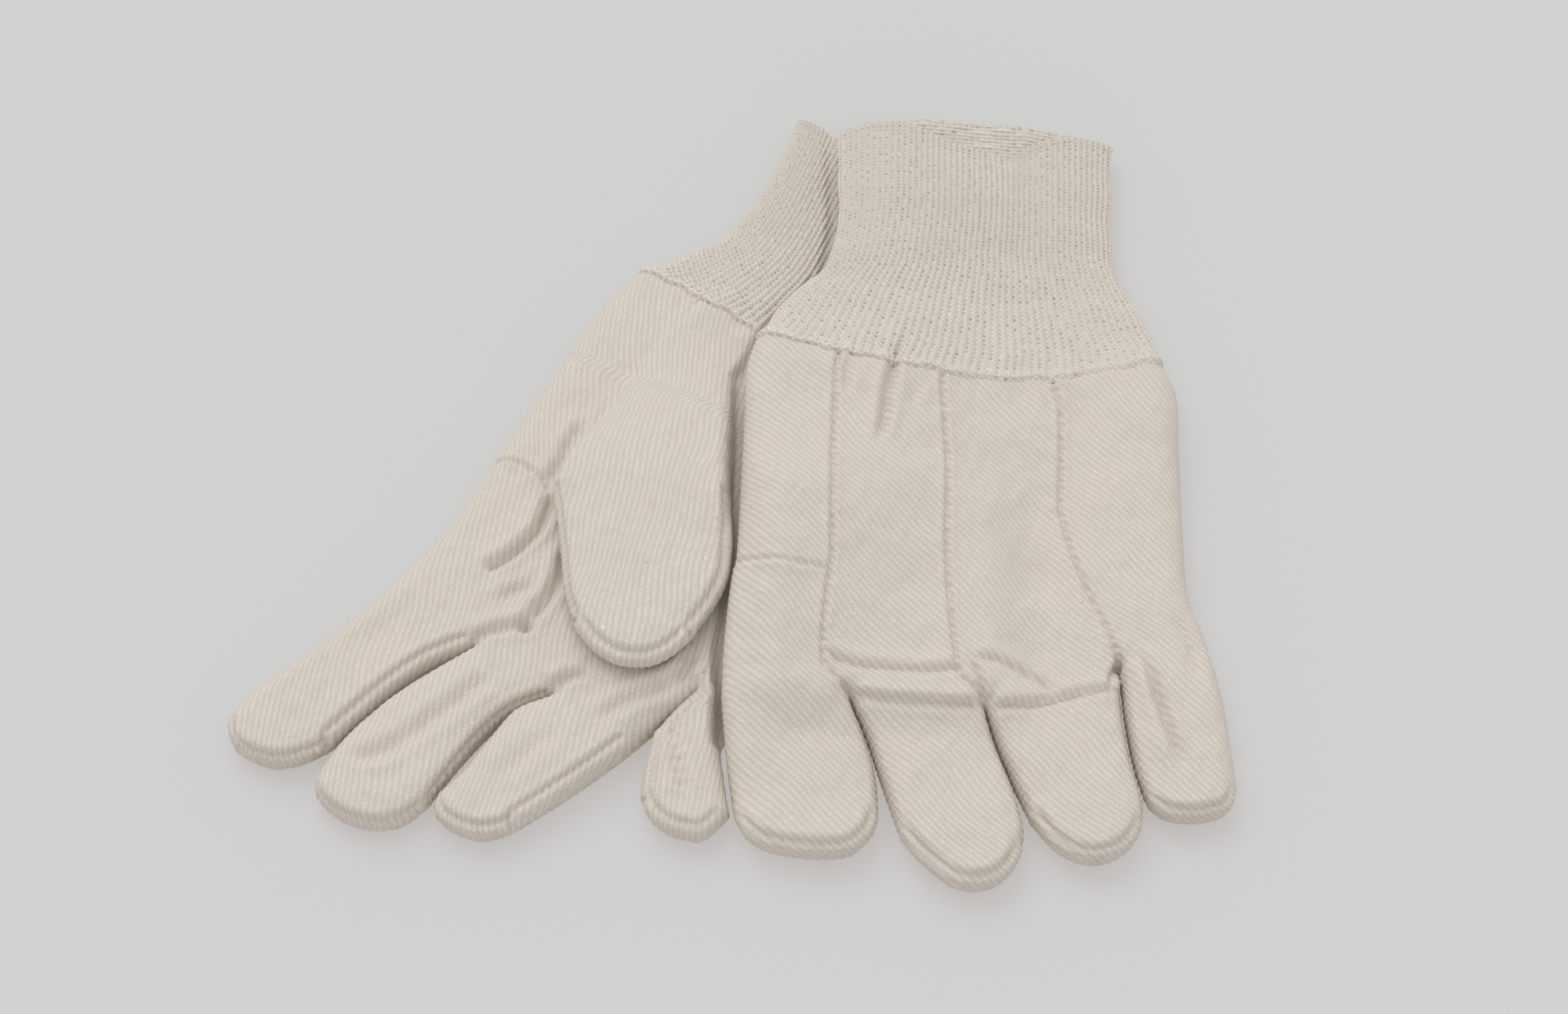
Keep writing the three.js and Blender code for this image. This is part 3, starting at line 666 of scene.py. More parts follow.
def add_details(glove, skin, side, thumb_outline):
    """Moves of the skin's points: slack waves, folds, seams and the twill's lines."""
    plan = glove.plan
    seams = [Fold(skin.blocks["back"]["points"][::8, c, :2], 0.8, 0.95, 0.3, 0.22, 3.8, 1)
             for c in (glove.starts[1], glove.starts[2], glove.starts[-2])]
    k, (j0, _) = glove.heel_row, glove.thumb_span
    cross_front = Fold(glove.hand[k, :j0 + 1:4], 0.8, 0.9, 0.3, 0.15, 3.8, 1)
    cross_back = Fold(glove.hand[k, :glove.starts[1] + 1:6], 0.75, 0.7, 0.25, 0.1, 4.4, 1)
    folds = LEFT_FOLDS if plan["on_top"] else RIGHT_FOLDS
    for name, block in skin.blocks.items():
        x, y = block["points"][..., 0], block["points"][..., 1]
        part, _, face = name.partition("_")
        shown = block["up"]
        calm = ease(0, 5, block["edge"]) * (1.0 if shown else 0.4)
        move = (0.55 * waves(x, y, 38, 9, 11 + plan["on_top"]) + 0.2 * waves(x, y, 11, 12, 23)) * calm
        if part == "back":
            move += sum(seam.height(x, y) for seam in seams) + cross_back.height(x, y)
        if part in ("heel", "palm"):
            move += cross_front.height(x, y)
        if shown and part != "thumb":
            move += sum(fold.height(x, y) for fold in folds)
        if part in ("heel", "back"):
            wrist = np.concatenate([[0], np.cumsum(np.full(x.shape[0] - 1, GRID))])[:, None]
            gathers = waves(np.arange(x.shape[1])[None] * GRID, wrist * 0.1, 16, 10, 31)
            move += 0.55 * gathers * bell(wrist, 11) * ease(0, 6, block["edge"]) - 0.9 * bell(wrist, 1.3)
        sewn, lines = {}, None
        if part == "thumb":
            sewn, lines = THUMBS[side]["sewn"], thumb_outline
        elif part in plan["fingers"]:
            sewn, lines = plan["fingers"][part]["sewn"], glove.outlines[part]
        if lines:
            for inset, line in zip(sewn, lines):
                if inset is not None:
                    edge, along, _ = line.nearest(x, y)
                    ends = ease(0, 6, along) * ease(0, 6, line.length - along) if line is lines[2] else 1.0
                    move += seam_groove(edge, along, inset if shown else 0.0) * ends
        if not plan["on_top"] and part != "thumb":
            move *= 1 - 0.85 * covered(x, y) * shown
        block["move"] = move
        carry_on = None
        sideways = ease(0, 0.3, np.linspace(0, 1, x.shape[0]))
        if part in ("heel", "palm", "back"):
            first = glove.heel_row if part == "palm" else 0
            sideways = 1 - ease(0.8, 0.97, glove.s[first:first + x.shape[0]])
        if name == "thumb_front":
            carry_on = skin.blocks["heel"]["flat"][-1, glove.thumb_span[0]:glove.thumb_span[1] + 1]
        if part in plan["fingers"]:
            group = plan["fingers"][part]["group"]
            start, end = glove.starts[group:group + 2]
            source = skin.blocks["palm" if face == "front" else "back"]
            carry_on = source["flat"][-1, start:end + 1]
        lay_cloth(block, TWILL_TURN[side], 5, sideways, 0.2 if part == "heel" else 1.0, carry_on)
        block["weave"] = TWILL_HEIGHT * np.cos(2 * math.pi * block["cloth"][..., 0] / TWILL)


def build_glove(side, plan):
    glove, skin = Plan(plan), Skin()
    up = {"front": not plan["on_top"], "back": plan["on_top"]}
    outline = build_hand(glove, skin, up)
    build_thumb(glove, skin, up, outline)
    build_fingers(glove, skin, up)
    add_details(glove, skin, side, outline)
    skin.weld()
    skin.displace("move")
    normals = skin.normals()
    skin.displace("weave")
    skin.points[:, 2] = np.maximum(skin.points[:, 2], 0.05)
    return glove, skin, normals


# ------------------------------------------------------------------ objects

def new_object(name, points, faces, corner_uv, material, normals=None):
    """A mesh object of quads. points are in millimetres, corner_uv in millimetres of cloth."""
    mesh = bpy.data.meshes.new(name)
    mesh.vertices.add(len(points))
    mesh.vertices.foreach_set("co", (points * MM).astype(np.float32).ravel())
    mesh.loops.add(faces.size)
    mesh.loops.foreach_set("vertex_index", faces.ravel().astype(np.int32))
    mesh.polygons.add(len(faces))
    mesh.polygons.foreach_set("loop_start", np.arange(0, faces.size, 4, dtype=np.int32))
    mesh.validate()
    mesh.update(calc_edges=True)
    layer = mesh.uv_layers.new(name="cloth")
    layer.data.foreach_set("uv", (corner_uv * 0.01).astype(np.float32).ravel())
    mesh.polygons.foreach_set("use_smooth", np.ones(len(faces), bool))
    if normals is not None:
        mesh.normals_split_custom_set_from_vertices(normals)
    obj = bpy.data.objects.new(name, mesh)
    bpy.context.scene.collection.objects.link(obj)
    mesh.materials.append(material)
    return obj


def cut_piece(name, skin, normals, parts, material, wraps_at=None):
    """A piece cut from a skin. parts are (block name, mask or None); blocks join only at column wraps_at."""
    faces, corner_uv = [], []
    total = len(skin.points)
    joined = np.zeros(total, bool)
    if wraps_at is not None:
        for block_name, _ in parts:
            joined[skin.blocks[block_name]["index"][:, wraps_at]] = True
    for number, (block_name, mask) in enumerate(parts):
        block = skin.blocks[block_name]
        uv = block["cloth"]
        corners = [uv[:-1, :-1], uv[1:, :-1], uv[1:, 1:], uv[:-1, 1:]]
        if not block["up"]:
            corners.reverse()
        corners = np.stack(corners, 2)
        corner_uv.append((corners[mask] if mask is not None else corners).reshape(-1, 2))
        quads = skin.quads(block_name, mask)
        faces.append(np.where(joined[quads], quads, quads + number * total))
    faces = np.vstack(faces)
    used, local = np.unique(faces, return_inverse=True)
    source = used % total
    return new_object(name, skin.points[source], local.reshape(-1, 4), np.vstack(corner_uv), material,
                      normals[source])


def bend_of(side, child, row, towards):
    """Where a bend starts and ends: just past the row of points, along the direction across its joint."""
    joint = next(j for j in frame["joints"] if j["child"] == f"{side}_{child}")
    pivot, axis = np.array(joint["pos_m"], float), np.array(joint["axis"], float)
    out = unit(np.cross([0.0, 0.0, 1.0], axis))
    if (np.array(towards) * MM - pivot[:2]) @ out[:2] < 0:
        out = -out
    start = pivot + out * max(((row * MM - pivot) @ out).max(), 0)
    return tuple(start), tuple(start + out * BEND_LENGTH * MM)


# ------------------------------------------------------------------ materials

class Nodes:
    """Short hand for a material's node tree."""

    def __init__(self, name):
        self.material = bpy.data.materials.new(name)
        self.material.use_nodes = True
        self.tree = self.material.node_tree
        self.shader = self.tree.nodes["Principled BSDF"]
        self.shader.inputs["Roughness"].default_value = 0.95
        self.shader.inputs["Specular IOR Level"].default_value = 0.15
        self.shader.inputs["Sheen Weight"].default_value = 0.2
        self.shader.inputs["Sheen Roughness"].default_value = 0.5

    def put(self, kind, **settings):
        node = self.tree.nodes.new(kind)
        for key, value in settings.items():
            setattr(node, key, value)
        return node

    def link(self, source, target):
        if isinstance(source, (int, float, tuple)):
            target.default_value = source
        else:
            self.tree.links.new(source, target)

    def math(self, operation, *values):
        node = self.put("ShaderNodeMath", operation=operation)
        for k, value in enumerate(values):
            self.link(value, node.inputs[k])
        return node.outputs[0]

    def noise(self, vector, scale, detail=2.0, roughness=0.5):
        node = self.put("ShaderNodeTexNoise")
        self.link(vector, node.inputs["Vector"])
        node.inputs["Scale"].default_value = scale
        node.inputs["Detail"].default_value = detail
        node.inputs["Roughness"].default_value = roughness
        return node.outputs[0]

    def colour(self, share, first, second):
        node = self.put("ShaderNodeMix", data_type="RGBA")
        self.link(share, node.inputs[0])
        self.link(first, node.inputs[6])
        self.link(second, node.inputs[7])
        return node.outputs[2]

    def remap(self, value, low, high, to_low=0.0, to_high=1.0):
        node = self.put("ShaderNodeMapRange")
        self.link(value, node.inputs[0])
        for k, number in enumerate((low, high, to_low, to_high)):
            node.inputs[k + 1].default_value = number
        return node.outputs[0]

    def wave(self, value, pitch):
        """Between 0 and 1, 1 where value is a whole number of pitches."""
        turned = self.math("COSINE", self.math("MULTIPLY", value, 2 * math.pi / pitch))
        return self.math("MULTIPLY_ADD", turned, 0.5, 0.5)

    def cloth(self):
        """The cloth's coordinates: the two in millimetres, and the vector that noise takes, in 0.1 m."""
        uv = self.put("ShaderNodeUVMap", uv_map="cloth").outputs[0]
        split = self.put("ShaderNodeSeparateXYZ")
        self.link(uv, split.inputs[0])
        u, v = (self.math("MULTIPLY", split.outputs[k], 100.0) for k in (0, 1))
        return u, v, uv

    def bump(self, height, strength, distance):
        node = self.put("ShaderNodeBump")
        node.inputs["Strength"].default_value = strength
        node.inputs["Distance"].default_value = distance
        self.link(height, node.inputs["Height"])
        self.link(node.outputs[0], self.shader.inputs["Normal"])

    def flecks(self, uv, scale, share, colour_in, fleck_colour, strength):
        """Sparse small specks, such as bits of seed and dyed lint in the cotton."""
        cells = self.put("ShaderNodeTexVoronoi")
        self.link(uv, cells.inputs["Vector"])
        cells.inputs["Scale"].default_value = scale
        near = self.remap(cells.outputs["Distance"], 0.05, 0.13, 1.0, 0.0)
        pick = self.put("ShaderNodeSeparateXYZ")
        self.link(cells.outputs["Color"], pick.inputs[0])
        chosen = self.math("GREATER_THAN", pick.outputs[0], 1 - share)
        amount = self.math("MULTIPLY", self.math("MULTIPLY", near, chosen), strength)
        return self.colour(amount, colour_in, fleck_colour)


# CLOTH_LIGHT and CLOTH_SHADE: the twill painted lighter on its ridges and darker in its valleys, painted
# shade of the weave
CLOTH_LIGHT = (0.82, 0.745, 0.67, 1)
CLOTH_SHADE = (0.575, 0.51, 0.45, 1)
# KNIT_LIGHT and KNIT_SHADE: the knit painted lighter on its stitches and darker between them, painted shade
KNIT_LIGHT = (0.86, 0.79, 0.71, 1)
KNIT_SHADE = (0.60, 0.53, 0.46, 1)
# HOLE_SHADE: painted shade in the knit's holes between its ribs
HOLE_SHADE = (0.30, 0.25, 0.20, 1)
SEED = (0.50, 0.36, 0.22, 1)
LINT = (0.34, 0.26, 0.22, 1)
SLUB = (0.92, 0.87, 0.79, 1)
OLD_YELLOW = (0.76, 0.66, 0.55, 1)


def twill_material():
    n = Nodes("cotton_twill")
    u, v, uv = n.cloth()
    wobble = n.math("MULTIPLY", n.math("SUBTRACT", n.noise(uv, 75, 2), 0.5), 1.1)
    line = n.wave(n.math("ADD", u, wobble), TWILL)
    step = n.math("MULTIPLY", n.math("FLOOR", n.math("DIVIDE", u, TWILL)), 0.62)
    yarn = n.wave(n.math("ADD", n.math("ADD", v, step), n.math("MULTIPLY", u, 0.55)), 1.25)
    fuzz = n.noise(uv, 260, 4, 0.65)
    uneven = n.noise(uv, 42, 3, 0.6)
    weave = n.math("MULTIPLY", line, n.remap(yarn, 0, 1, 0.45, 1.0))
    height = n.math("ADD", n.math("MULTIPLY", weave, n.remap(uneven, 0.3, 0.7, 0.4, 0.9)),
                    n.math("MULTIPLY", fuzz, 0.8))
    n.bump(height, 0.6, 0.0005)
    # Painted shade: the colour follows the weave's height, darker between the twill's lines and lighter on
    # them, with random fibre tone from fuzz and uneven.
    shade = n.math("ADD", n.math("MULTIPLY", weave, n.remap(uneven, 0.3, 0.7, 0.25, 0.6)),
                   n.math("MULTIPLY", fuzz, 0.65))
    colour = n.colour(n.remap(shade, 0.12, 0.80), CLOTH_SHADE, CLOTH_LIGHT)
    cloud = n.remap(n.noise(uv, 3.2, 3), 0.35, 0.75)
    colour = n.colour(n.math("MULTIPLY", cloud, 0.14), colour, OLD_YELLOW)
    colour = n.flecks(uv, 26, 0.018, colour, SEED, 0.55)
    colour = n.flecks(uv, 38, 0.010, colour, LINT, 0.5)
    colour = n.flecks(uv, 17, 0.03, colour, SLUB, 0.6)
    n.link(colour, n.shader.inputs["Base Color"])
    return n.material


def knit_material():
    """Rib knit: u counts the ribs, each a column of V-shaped stitches, with small holes between the ribs,
    painted dark as shade.
    """
    n = Nodes("cotton_rib_knit")
    u, v, uv = n.cloth()
    sway = n.math("MULTIPLY", n.math("SUBTRACT", n.noise(uv, 7, 2), 0.5), 1.2)
    rib = n.wave(u, RIB)
    turns = n.math("ADD", n.math("DIVIDE", u, RIB), 0.5)
    off_middle = n.math("ABSOLUTE", n.math("SUBTRACT", n.math("FRACT", turns), 0.5))
    row = n.math("ADD", v, sway)
    stitch = n.wave(n.math("ADD", row, n.math("MULTIPLY", off_middle, 2.6)), STITCH)
    fuzz = n.noise(uv, 240, 4, 0.65)
    groove = n.remap(rib, 0.0, 0.4, 1.0, 0.0)
    uneven = n.remap(n.noise(uv, 60, 2), 0.38, 0.68, 0.0, 1.0)
    hole = n.math("MULTIPLY", n.math("MULTIPLY", groove, n.remap(n.wave(row, STITCH), 0.3, 0.75)), uneven)
    height = n.math("ADD", n.math("MULTIPLY", n.math("MULTIPLY", rib, stitch), 0.9),
                    n.math("MULTIPLY", fuzz, 0.8))
    n.bump(n.math("SUBTRACT", height, n.math("MULTIPLY", hole, 0.8)), 0.6, 0.0006)
    # Painted shade: the colour follows the stitches, darker between their rows and lighter on them, with
    # random fibre tone from fuzz.
    shade = n.math("ADD", n.math("MULTIPLY", stitch, 0.4), n.math("MULTIPLY", fuzz, 0.5))
    colour = n.colour(n.remap(shade, 0.1, 0.7), KNIT_SHADE, KNIT_LIGHT)
    # Painted shade: the holes between the ribs painted dark for the shade inside them; the surface has only a
    # bump dip there.
    colour = n.colour(n.math("MULTIPLY", hole, 0.8), colour, HOLE_SHADE)
    colour = n.flecks(uv, 30, 0.03, colour, SEED, 0.5)
    colour = n.flecks(uv, 14, 0.02, colour, SLUB, 0.6)
    n.link(colour, n.shader.inputs["Base Color"])
    return n.material


def thread_material():
    n = Nodes("overlock_thread")
    u, _, uv = n.cloth()
    loops = n.wave(u, 2.2)
    fuzz = n.noise(uv, 300, 4, 0.65)
    n.bump(n.math("ADD", loops, n.math("MULTIPLY", fuzz, 0.6)), 0.6, 0.0004)
    # Painted shade: the thread painted darker (CLOTH_SHADE) between its loops and pale (SLUB) on them.
    n.link(n.colour(n.math("MULTIPLY", loops, 0.8), CLOTH_SHADE, SLUB), n.shader.inputs["Base Color"])
    return n.material


CLOTH = twill_material()
KNIT = knit_material()
THREAD = thread_material()


# ------------------------------------------------------------------ knit cuffs

# left and right are the cuff's two edges from the wrist to the rim. upper and lower say how far the rim of
# each of its layers stands out past a straight line, for shares across.
CUFFS = dict(
    left=dict(left=[(7.7, 42), (13, 51.5), (21.5, 62), (29, 70), (32.3, 86), (32.5, 100), (32.5, 117)],
              right=[(128, 40), (127, 49), (124, 56), (121, 62), (118, 68), (116, 73), (115, 80),
                     (115.6, 100), (117, 121)],
              upper=[(0, 0), (0.1, 1.5), (0.25, 0), (0.37, -5.5), (0.5, -6.5), (0.62, -6.5), (0.7, -3),
                     (0.85, 0.5), (1, 0)],
              lower=[(0, 0), (0.12, 6), (0.3, 9.5), (0.7, 10.5), (0.88, 7), (1, 0)]),
    right=dict(left=[(-28.5, 74), (-25, 76), (-15, 81), (-4, 86.5), (4, 96), (12, 110), (18, 125), (20, 132)],
               right=[(70, 8), (67.5, 27), (68.7, 48), (74.7, 72), (84.7, 92)],
               upper=[(0, 0), (0.1, -1), (0.3, -3), (0.6, -2), (1, 0)],
               lower=[(0, 0), (0.3, 2), (0.7, 2), (1, 0)]),
)
CUFF_MIDDLE = 6.3
CUFF_RISE = 6.6
TUCK = 1.5            # how far a cuff's end reaches in under the hand's end
# Where the left cuff's upper layer sags: place, reach and depth.
SAGS = [(85, 118, 8, 22, 4.2), (75, 117, 13, 14, 2.6), (92, 96, 7, 30, 0.9)]


def cuff_heights(on_top, x, y, full, up):
    if on_top:
        low = ground(x, y) + LAY_GAP
        sag = sum(depth * bell(x - px, wide) * bell(y - py, long) for px, py, wide, long, depth in SAGS)
        return low + CUFF_MIDDLE + full * (CUFF_RISE - sag if up else 0.3 - CUFF_MIDDLE)
    cover = covered(x, y)
    limit = ground(x, y) - LAY_GAP - 0.5
    middle = mix(CUFF_MIDDLE, np.minimum(CUFF_MIDDLE, limit / 2), cover)
    if up:
        top = middle + CUFF_RISE * full
        return mix(top, np.minimum(top, limit), cover)
    return middle + (0.6 - middle) * full


def even_ring(points, count):
    """count + 1 points at even distances round a closed ring of points, the last one on the first."""
    steps = np.linalg.norm(np.diff(points, axis=0), axis=1)
    reach = np.concatenate([[0], np.cumsum(steps)])
    goal = np.linspace(0, reach[-1], count + 1)
    ring = np.stack([np.interp(goal, reach, points[:, k]) for k in range(3)], -1)
    ring[-1] = ring[0]
    return ring


def share_across(points):
    """Each point's share of the way from the first to the last one, in plan."""
    chord = points[-1, :2] - points[0, :2]
    share = (points[:, :2] - points[0, :2]) @ chord / (chord @ chord)
    return np.maximum.accumulate(share)


def build_cuff(side, wrist_upper, wrist_lower):
    """A cuff's outer surface as rows of rings from the wrist to the rim, and then back along its inside."""
    cuff = CUFFS[side]
    on_top = side == "left"
    left, right = Line(cuff["left"]), Line(cuff["right"])
    rows = np.linspace(0, 1, int(left.length / (GRID * 1.5)) + 1)
    v = 0.5 - 0.5 * np.cos(np.linspace(0, math.pi, 161))
    full = (1 - np.abs(2 * v - 1) ** 2.4) ** 0.5
    wrist = {}
    for name, row in (("upper", wrist_upper), ("lower", wrist_lower)):
        share = share_across(row)
        wrist[name] = np.stack([np.interp(v, share, row[:, k]) for k in range(3)], -1)
    rings = []
    straight = left.at(0) + (right.at(0) - left.at(0)) * v[:, None]
    for t in rows:
        a, b = left.at(t), right.at(t)
        across = b - a
        out = np.array([-across[1], across[0]]) / np.linalg.norm(across)
        halves = []
        for name in ("upper", "lower"):
            reach = knots(cuff[name], v) * ease(0.35, 1, t)
            plan = a + across * v[:, None] + out * reach[:, None]
            plan = plan + (wrist[name][:, :2] - straight) * (1 - ease(0, 0.55, t))
            z = cuff_heights(on_top, plan[:, 0], plan[:, 1], full, name == "upper")
            z = mix(wrist[name][:, 2], z, ease(0, 0.16, t))
            halves.append(np.column_stack([plan, z]))
        upper, lower = halves
        ring = np.vstack([upper, lower[::-1][1:]])
        ring[-1] = ring[0]
        rings.append(even_ring(ring, RIBS * RIB_STEPS))
    tucked = rings[0].copy()
    tucked[:, 1] -= TUCK
    tucked[:, 2] = mix(tucked[:, 2], tucked[:, 2].mean(), 0.12)
    rings = np.array([tucked, *rings])
    skin = Skin()
    block = skin.add("cuff", rings, True)
    column = np.arange(rings.shape[1])[None]
    steps = np.linalg.norm(np.diff(rings.mean(axis=1), axis=0), axis=1)
    along = np.concatenate([[0], np.cumsum(steps)])[:, None]
    x, y = rings[..., 0], rings[..., 1]
    rib = np.cos(2 * math.pi * column / RIB_STEPS)
    move = 0.27 * rib * ease(0.6, 4.5, along) + 0.35 * waves(x, y, 26, 9, 41 + on_top)
    move = move + 1.4 * bell(along - 1.9, 1.8) - 0.3 * bell(along, 1.0)
    move = move + 0.3 * waves(column * 0.5 + 0 * along, along * 0.15 + 0 * column, 14, 9, 51) * bell(along, 8)
    move = move + 0.35 * ease(along[-1] - 2.2, along[-1] - 0.6, along) * np.ones_like(rib)
    if not on_top:
        move = move * (1 - 0.8 * covered(x, y))
    block["move"] = move
    skin.weld()
    from_middle = rings[1:-1] - rings[1:-1].mean(axis=1, keepdims=True)
    if (skin.normals()[block["index"][1:-1]] * from_middle).sum() < 0:
        block["up"] = False
    skin.displace("move")
    outer = skin.points[block["index"]]
    inward = -skin.normals()[block["index"]]
    depth = int(0.55 * len(outer))
    rim_step = unit(outer[-1] - outer[-3]) * 0.5
    rim = outer[-1] + inward[-1] * KNIT_THICK / 2 + rim_step
    inner = (outer + inward * KNIT_THICK)[::-1][:depth]
    whole = np.concatenate([outer, rim[None], inner])
    whole[:, -1] = whole[:, 0]
    whole[..., 2] = np.maximum(whole[..., 2], 0.05)
    final = Skin()
    sheet = final.add("cuff", whole, block["up"])
    at_rim = along[-1, 0]
    rows_v = np.concatenate([along[:, 0], [at_rim + 0.6], 2 * at_rim + 1.2 - along[::-1, 0][:depth]])
    sheet["cloth"] = np.dstack([np.broadcast_to(column * RIB / RIB_STEPS, whole.shape[:2]),
                                np.broadcast_to(rows_v[:, None], whole.shape[:2])])
    final.weld()
    return final


def make_cuff(side, skin):
    heel, back = skin.blocks["heel"], skin.blocks["back"]
    rows = {"front": skin.points[heel["index"][0]], "back": skin.points[back["index"][0]]}
    upper, lower = (rows["back"], rows["front"]) if side == "left" else (rows["front"], rows["back"])
    cuff = build_cuff(side, upper, lower)
    obj = cut_piece(f"knit_{side}_cuff", cuff, cuff.normals(), [("cuff", None)], KNIT, wraps_at=0)
    if side == "left":
        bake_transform(obj)
    else:
        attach(obj, "right_hand")
    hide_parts(f"{side}_knit_cuff")


# ------------------------------------------------------------------ seam allowances

SEAM_WIDE = 3.0
SEAM_HALF = 0.55


def seam_allowance(name, path, inward, node, bodies, bend=None):
    """The overlocked edges of two panels: a narrow band that stands inwards from a seam's path."""
    tangent = unit(np.gradient(path, axis=0))
    across = unit(np.cross(tangent, inward))
    inward = unit(np.cross(across, tangent))
    reach = np.concatenate([[0], np.cumsum(np.linalg.norm(np.diff(path, axis=0), axis=1))])
    loops = 0.12 * np.cos(2 * math.pi * reach / 2.2)[:, None]
    corners = []
    for angle in np.linspace(0, 2 * math.pi, 11):
        deep = 0.9 + SEAM_WIDE * (0.5 + 0.5 * math.cos(angle))
        side = (SEAM_HALF + loops * (1 if math.cos(angle) > 0 else 0)) * math.sin(angle)
        corners.append(path + inward * deep + across * side)
    grid = np.stack(corners, axis=1)
    grid[:, -1] = grid[:, 0]
    for end in (0, -1):
        middle = grid[end, :-1].mean(axis=0)
        grid[end] = middle + (grid[end] - middle) * 0.02
    grid[..., 2] = np.maximum(grid[..., 2], 0.05)
    skin = Skin()
    block = skin.add("seam", grid, True)
    around = np.linspace(0, 2 * SEAM_WIDE, 11)
    block["cloth"] = np.dstack([np.broadcast_to(reach[:, None], grid.shape[:2]),
                                np.broadcast_to(around[None], grid.shape[:2])])
    skin.weld()
    centre = grid.mean(axis=1, keepdims=True)
    if (skin.normals()[block["index"]] * (grid - centre))[1:-1].sum() < 0:
        block["up"] = False
    obj = cut_piece(name, skin, skin.normals(), [("seam", None)], THREAD, wraps_at=0)
    if bend:
        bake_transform(obj)
    else:
        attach(obj, bodies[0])
    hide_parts(node)


def run_of(skin, normals, block, rows, cols, step=3):
    """A seam's path along part of a block, and the direction into the glove there."""
    index = skin.blocks[block]["index"][rows, cols]
    index = np.ravel(index)[::step]
    return skin.points[index], -normals[index]


def add_allowances(side, glove, skin, normals, bends):
    body = f"{side}_hand"
    j0 = glove.thumb_span[0]
    last = len(glove.s) - 1
    runs = {}
    for number, column in enumerate((glove.starts[1], glove.starts[2], glove.starts[-2]), 1):
        runs[f"back_seam_{number}"] = run_of(skin, normals, "back", slice(6, last - 8), column)
    runs["cross_seam"] = run_of(skin, normals, "heel", -1, slice(8, j0 - 4))
    wide = skin.blocks["heel"]["index"].shape[1]
    runs["wrist_seam"] = run_of(skin, normals, "back", 3, slice(10, int(0.9 * wide)))
    for name, (path, inward) in runs.items():
        seam_allowance(f"thread_{side}_{name}", path, inward, f"{side}_{name}", [body])
    fingers = [*glove.plan["fingers"], "thumb"]
    for finger in fingers:
        index = skin.blocks[f"{finger}_front"]["index"]
        first = 8 if finger != "thumb" else 24
        ring = np.concatenate([index[first:, 0], index[-1, 1:], index[first:-1, -1][::-1]])[::3]
        path, inward = skin.points[ring], -normals[ring]
        inward = inward * [1, 1, 0.15]
        bodies = [body, f"{side}_{finger}"] if finger in bends else [body]
        seam_allowance(f"thread_{side}_{finger}_seam", path, unit(inward), f"{side}_{finger}_seam", bodies,
                       bends.get(finger))


# ------------------------------------------------------------------ the gloves' pieces


def finish_piece(obj, nodes, body, bend=None):
    if bend:
        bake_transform(obj)
    else:
        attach(obj, body)
    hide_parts(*nodes)


def make_glove(side, plan):
    glove, skin, normals = build_glove(side, plan)
    body = f"{side}_hand"
    columns = glove.hand.shape[1] - 1
    column = np.arange(columns)[None] + np.zeros((len(glove.s) - 1, 1))
    row = np.arange(len(glove.s) - 1)[:, None] + np.zeros((1, columns))
    seams = [glove.starts[1], glove.starts[2], glove.starts[-2], columns]
    index_part = column < seams[0]
    above = row < glove.heel_row
    parts = {
        "heel_panel": [("heel", None), ("back", above & index_part)],
        "palm_panel": [("palm", None), ("back", ~above & index_part)],
        "back_middle_strip": [("back", (column >= seams[0]) & (column < seams[1]))],
        "back_ring_strip": [("back", (column >= seams[1]) & (column < seams[2]))],
        "back_little_strip": [("back", column >= seams[2])],
    }
    for name, blocks in parts.items():
        wraps_at = 0 if len(blocks) == 2 else None
        obj = cut_piece(f"cloth_{side}_{name}", skin, normals, blocks, CLOTH, wraps_at)
        finish_piece(obj, [f"{side}_{name}"], body)
    bends = {}
    for finger in [*plan["fingers"], "thumb"]:
        front = skin.blocks[f"{finger}_front"]
        if (side, finger) != ("left", "thumb"):
            first = skin.points[front["index"][0]]
            bends[finger] = bend_of(side, finger, first, skin.points[front["index"][-1]].mean(axis=0)[:2])
        bend = bends.get(finger)
        if finger in ("index", "little"):
            obj = cut_piece(f"cloth_{side}_{finger}_finger", skin, normals,
                            [(f"{finger}_front", None), (f"{finger}_back", None)], CLOTH,
                            wraps_at=0 if finger == "index" else -1)
            nodes = [f"{side}_{finger}_finger"]
            if (side, finger) == ("right", "little"):
                nodes.append("right_little_finger_base")
            finish_piece(obj, nodes, body, bend)
            continue
        for face in ("front", "back"):
            obj = cut_piece(f"cloth_{side}_{finger}_{face}", skin, normals, [(f"{finger}_{face}", None)],
                            CLOTH)
            finish_piece(obj, [f"{side}_{finger}_{face}"], body, bend)
    make_cuff(side, skin)
    add_allowances(side, glove, skin, normals, bends)


make_glove("right", RIGHT)
make_glove("left", LEFT)


# ------------------------------------------------------------------ stage, light and camera

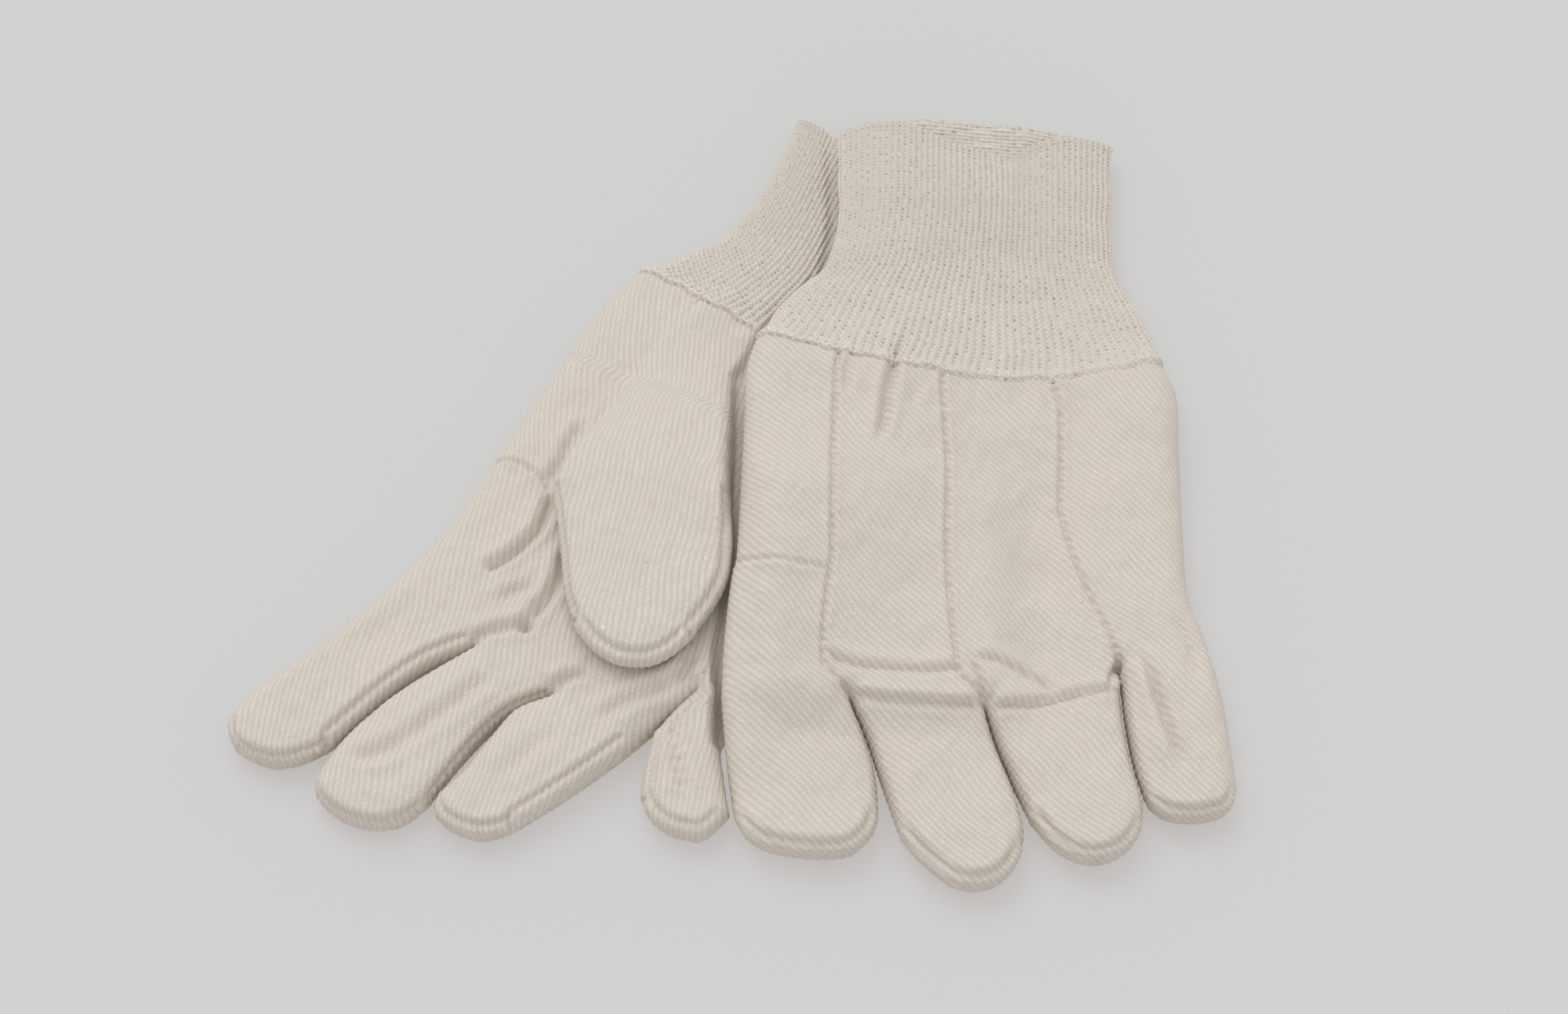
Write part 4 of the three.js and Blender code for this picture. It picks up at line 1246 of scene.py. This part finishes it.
FLOOR_SHADE = 0.637                     # the floor's brightness
FLOOR_GLOW = (0.66, 0.60, 0.57)         # share of that brightness that doesn't depend on the light
SUN_SHARE = 0.24                        # share of the light that comes from the sun, not from all round


def aim(obj, target):
    look = Vector(target) - obj.location
    obj.rotation_euler = look.to_track_quat("-Z", "Y").to_euler()


def stage():
    half = 6.0
    corners = [(-half, -half, 0), (half, -half, 0), (half, half, 0), (-half, half, 0)]
    mesh = bpy.data.meshes.new("floor")
    mesh.from_pydata(corners, [], [(0, 1, 2, 3)])
    floor = bpy.data.objects.new("floor", mesh)
    bpy.context.scene.collection.objects.link(floor)
    n = Nodes("pale_floor")
    glow = [FLOOR_SHADE * share for share in FLOOR_GLOW]
    n.shader.inputs["Base Color"].default_value = (*[FLOOR_SHADE - g for g in glow], 1)
    n.shader.inputs["Emission Color"].default_value = (*glow, 1)
    n.shader.inputs["Emission Strength"].default_value = 1.0
    n.shader.inputs["Roughness"].default_value = 1.0
    n.shader.inputs["Specular IOR Level"].default_value = 0.0
    n.shader.inputs["Sheen Weight"].default_value = 0.0
    mesh.materials.append(n.material)


def lights():
    world = bpy.data.worlds.new("soft_room")
    bpy.context.scene.world = world
    world.use_nodes = True
    background = world.node_tree.nodes["Background"]
    background.inputs[0].default_value = (1, 1, 1, 1)
    background.inputs[1].default_value = 1 - SUN_SHARE
    data = bpy.data.lights.new("sun", "SUN")
    data.angle = math.radians(50)
    sun = bpy.data.objects.new("sun", data)
    sun.location = (-0.45, 0.95, 1.5)
    bpy.context.scene.collection.objects.link(sun)
    aim(sun, (0, 0, 0))
    data.energy = SUN_SHARE * math.pi * sun.location.length / sun.location.z


def camera():
    elevation = math.radians(58)
    distance = 1.0856
    target = (0.0157, -0.005, 0.0)
    data = bpy.data.cameras.new("camera")
    data.lens = 85
    data.sensor_width = 36
    obj = bpy.data.objects.new("camera", data)
    obj.location = (target[0], target[1] - distance * math.cos(elevation), distance * math.sin(elevation))
    bpy.context.scene.collection.objects.link(obj)
    aim(obj, target)
    bpy.context.scene.camera = obj


stage()
lights()
camera()
bpy.context.scene.view_settings.view_transform = "Standard"
